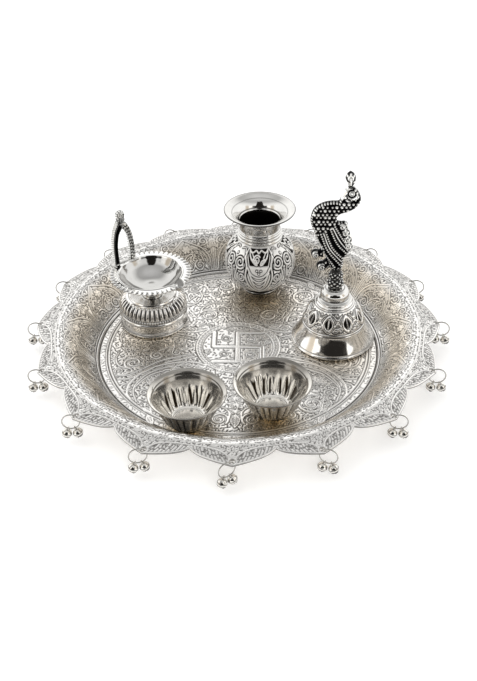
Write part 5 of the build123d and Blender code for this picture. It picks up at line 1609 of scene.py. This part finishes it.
turn = maths("ABSOLUTE", maths("DIVIDE", maths("ARCTAN2", sep.outputs["X"], maths("MULTIPLY", sep.outputs["Y"], -1.0)), math.pi))
panels = nt.nodes.new("ShaderNodeValToRGB")
pr = panels.color_ramp
pr.elements[0].position = 0.0
pr.elements[0].color = (0.03, 0.027, 0.024, 1)
pr.elements[1].position = 1.0
pr.elements[1].color = (1, 1, 1, 1)
for pos, col in ((0.215, (0.03, 0.027, 0.024)), (0.235, (1.15, 1.13, 1.1)), (0.32, (1.15, 1.13, 1.1)), (0.35, (0.60, 0.53, 0.44)),
                 (0.42, (0.64, 0.57, 0.48)), (0.46, (1.0, 1.0, 1.0))):
    e = pr.elements.new(pos)
    e.color = (*col, 1)
nt.links.new(turn, panels.inputs["Fac"])
reach = nt.nodes.new("ShaderNodeMapRange")
reach.interpolation_type = "SMOOTHSTEP"
reach.inputs["From Min"].default_value = 0.56
reach.inputs["From Max"].default_value = 0.68
reach.inputs["To Min"].default_value = 1.0
reach.inputs["To Max"].default_value = 0.0
nt.links.new(sep.outputs["Z"], reach.inputs["Value"])
both = nt.nodes.new("ShaderNodeMix")
both.data_type = "RGBA"
both.inputs["A"].default_value = (1, 1, 1, 1)
nt.links.new(reach.outputs["Result"], both.inputs["Factor"])
nt.links.new(panels.outputs["Color"], both.inputs["B"])
mul = nt.nodes.new("ShaderNodeMix")
mul.data_type = "RGBA"
mul.blend_type = "MULTIPLY"
mul.inputs["Factor"].default_value = 1.0
nt.links.new(ramp.outputs["Color"], mul.inputs["A"])
nt.links.new(both.outputs["Result"], mul.inputs["B"])
tall = nt.nodes.new("ShaderNodeMix")
tall.data_type = "RGBA"
tall.inputs["B"].default_value = (0.02, 0.018, 0.016, 1)
nt.links.new(maths("MULTIPLY", maths("LESS_THAN", turn, maths("SUBTRACT", 0.225, maths("MULTIPLY", sep.outputs["Z"], 0.16))), maths("LESS_THAN", sep.outputs["Z"], 0.87)), tall.inputs["Factor"])
nt.links.new(mul.outputs["Result"], tall.inputs["A"])
seen = nt.nodes.new("ShaderNodeMix")
seen.data_type = "RGBA"
seen.inputs["B"].default_value = (1.05, 1.05, 1.04, 1)
nt.links.new(nt.nodes.new("ShaderNodeLightPath").outputs["Is Camera Ray"], seen.inputs["Factor"])
nt.links.new(tall.outputs["Result"], seen.inputs["A"])
nt.links.new(seen.outputs["Result"], bg.inputs["Color"])
bg.inputs["Strength"].default_value = 1.0
nt.links.new(bg.outputs[0], wo.inputs[0])


def area(name, at, target, size, power, colour=(1, 1, 1)):
    data = bpy.data.lights.new(name, "AREA")
    data.shape = "RECTANGLE"
    data.size, data.size_y = size
    data.energy = power
    data.color = colour
    o = bpy.data.objects.new(name, data)
    o.location = at
    o.rotation_euler = (Vector(target) - Vector(at)).to_track_quat("-Z", "Y").to_euler()
    scene.collection.objects.link(o)
    return o


key = area("key", (-0.9, 0.1, 1.5), (0, 0, 0), (1.7, 1.7), 9)
key.visible_glossy = False
fill = area("fill", (0.25, -1.5, 0.9), (0, 0, 0.03), (1.2, 0.8), 12)
fill.visible_glossy = False

cam = bpy.data.cameras.new("camera")
cam.sensor_fit = "AUTO"
cam.sensor_width = 36.0
cam.lens = 946.207 / 681 * 36
cam.dof.use_dof = False
cam.clip_start = 0.01
co = bpy.data.objects.new("camera", cam)
right = Vector((0.99965, 0.02024, -0.01730))
upv = Vector((0.00180, 0.59674, 0.80242))
fwd = Vector((-0.02657, 0.80216, -0.5965))
m = Matrix.Identity(4)
for i in range(3):
    m[i][0], m[i][1], m[i][2] = right[i], upv[i], -fwd[i]
m[0][3], m[1][3], m[2][3] = 0.0182, -0.5335, 0.4032
co.matrix_world = m
scene.collection.objects.link(co)
scene.camera = co
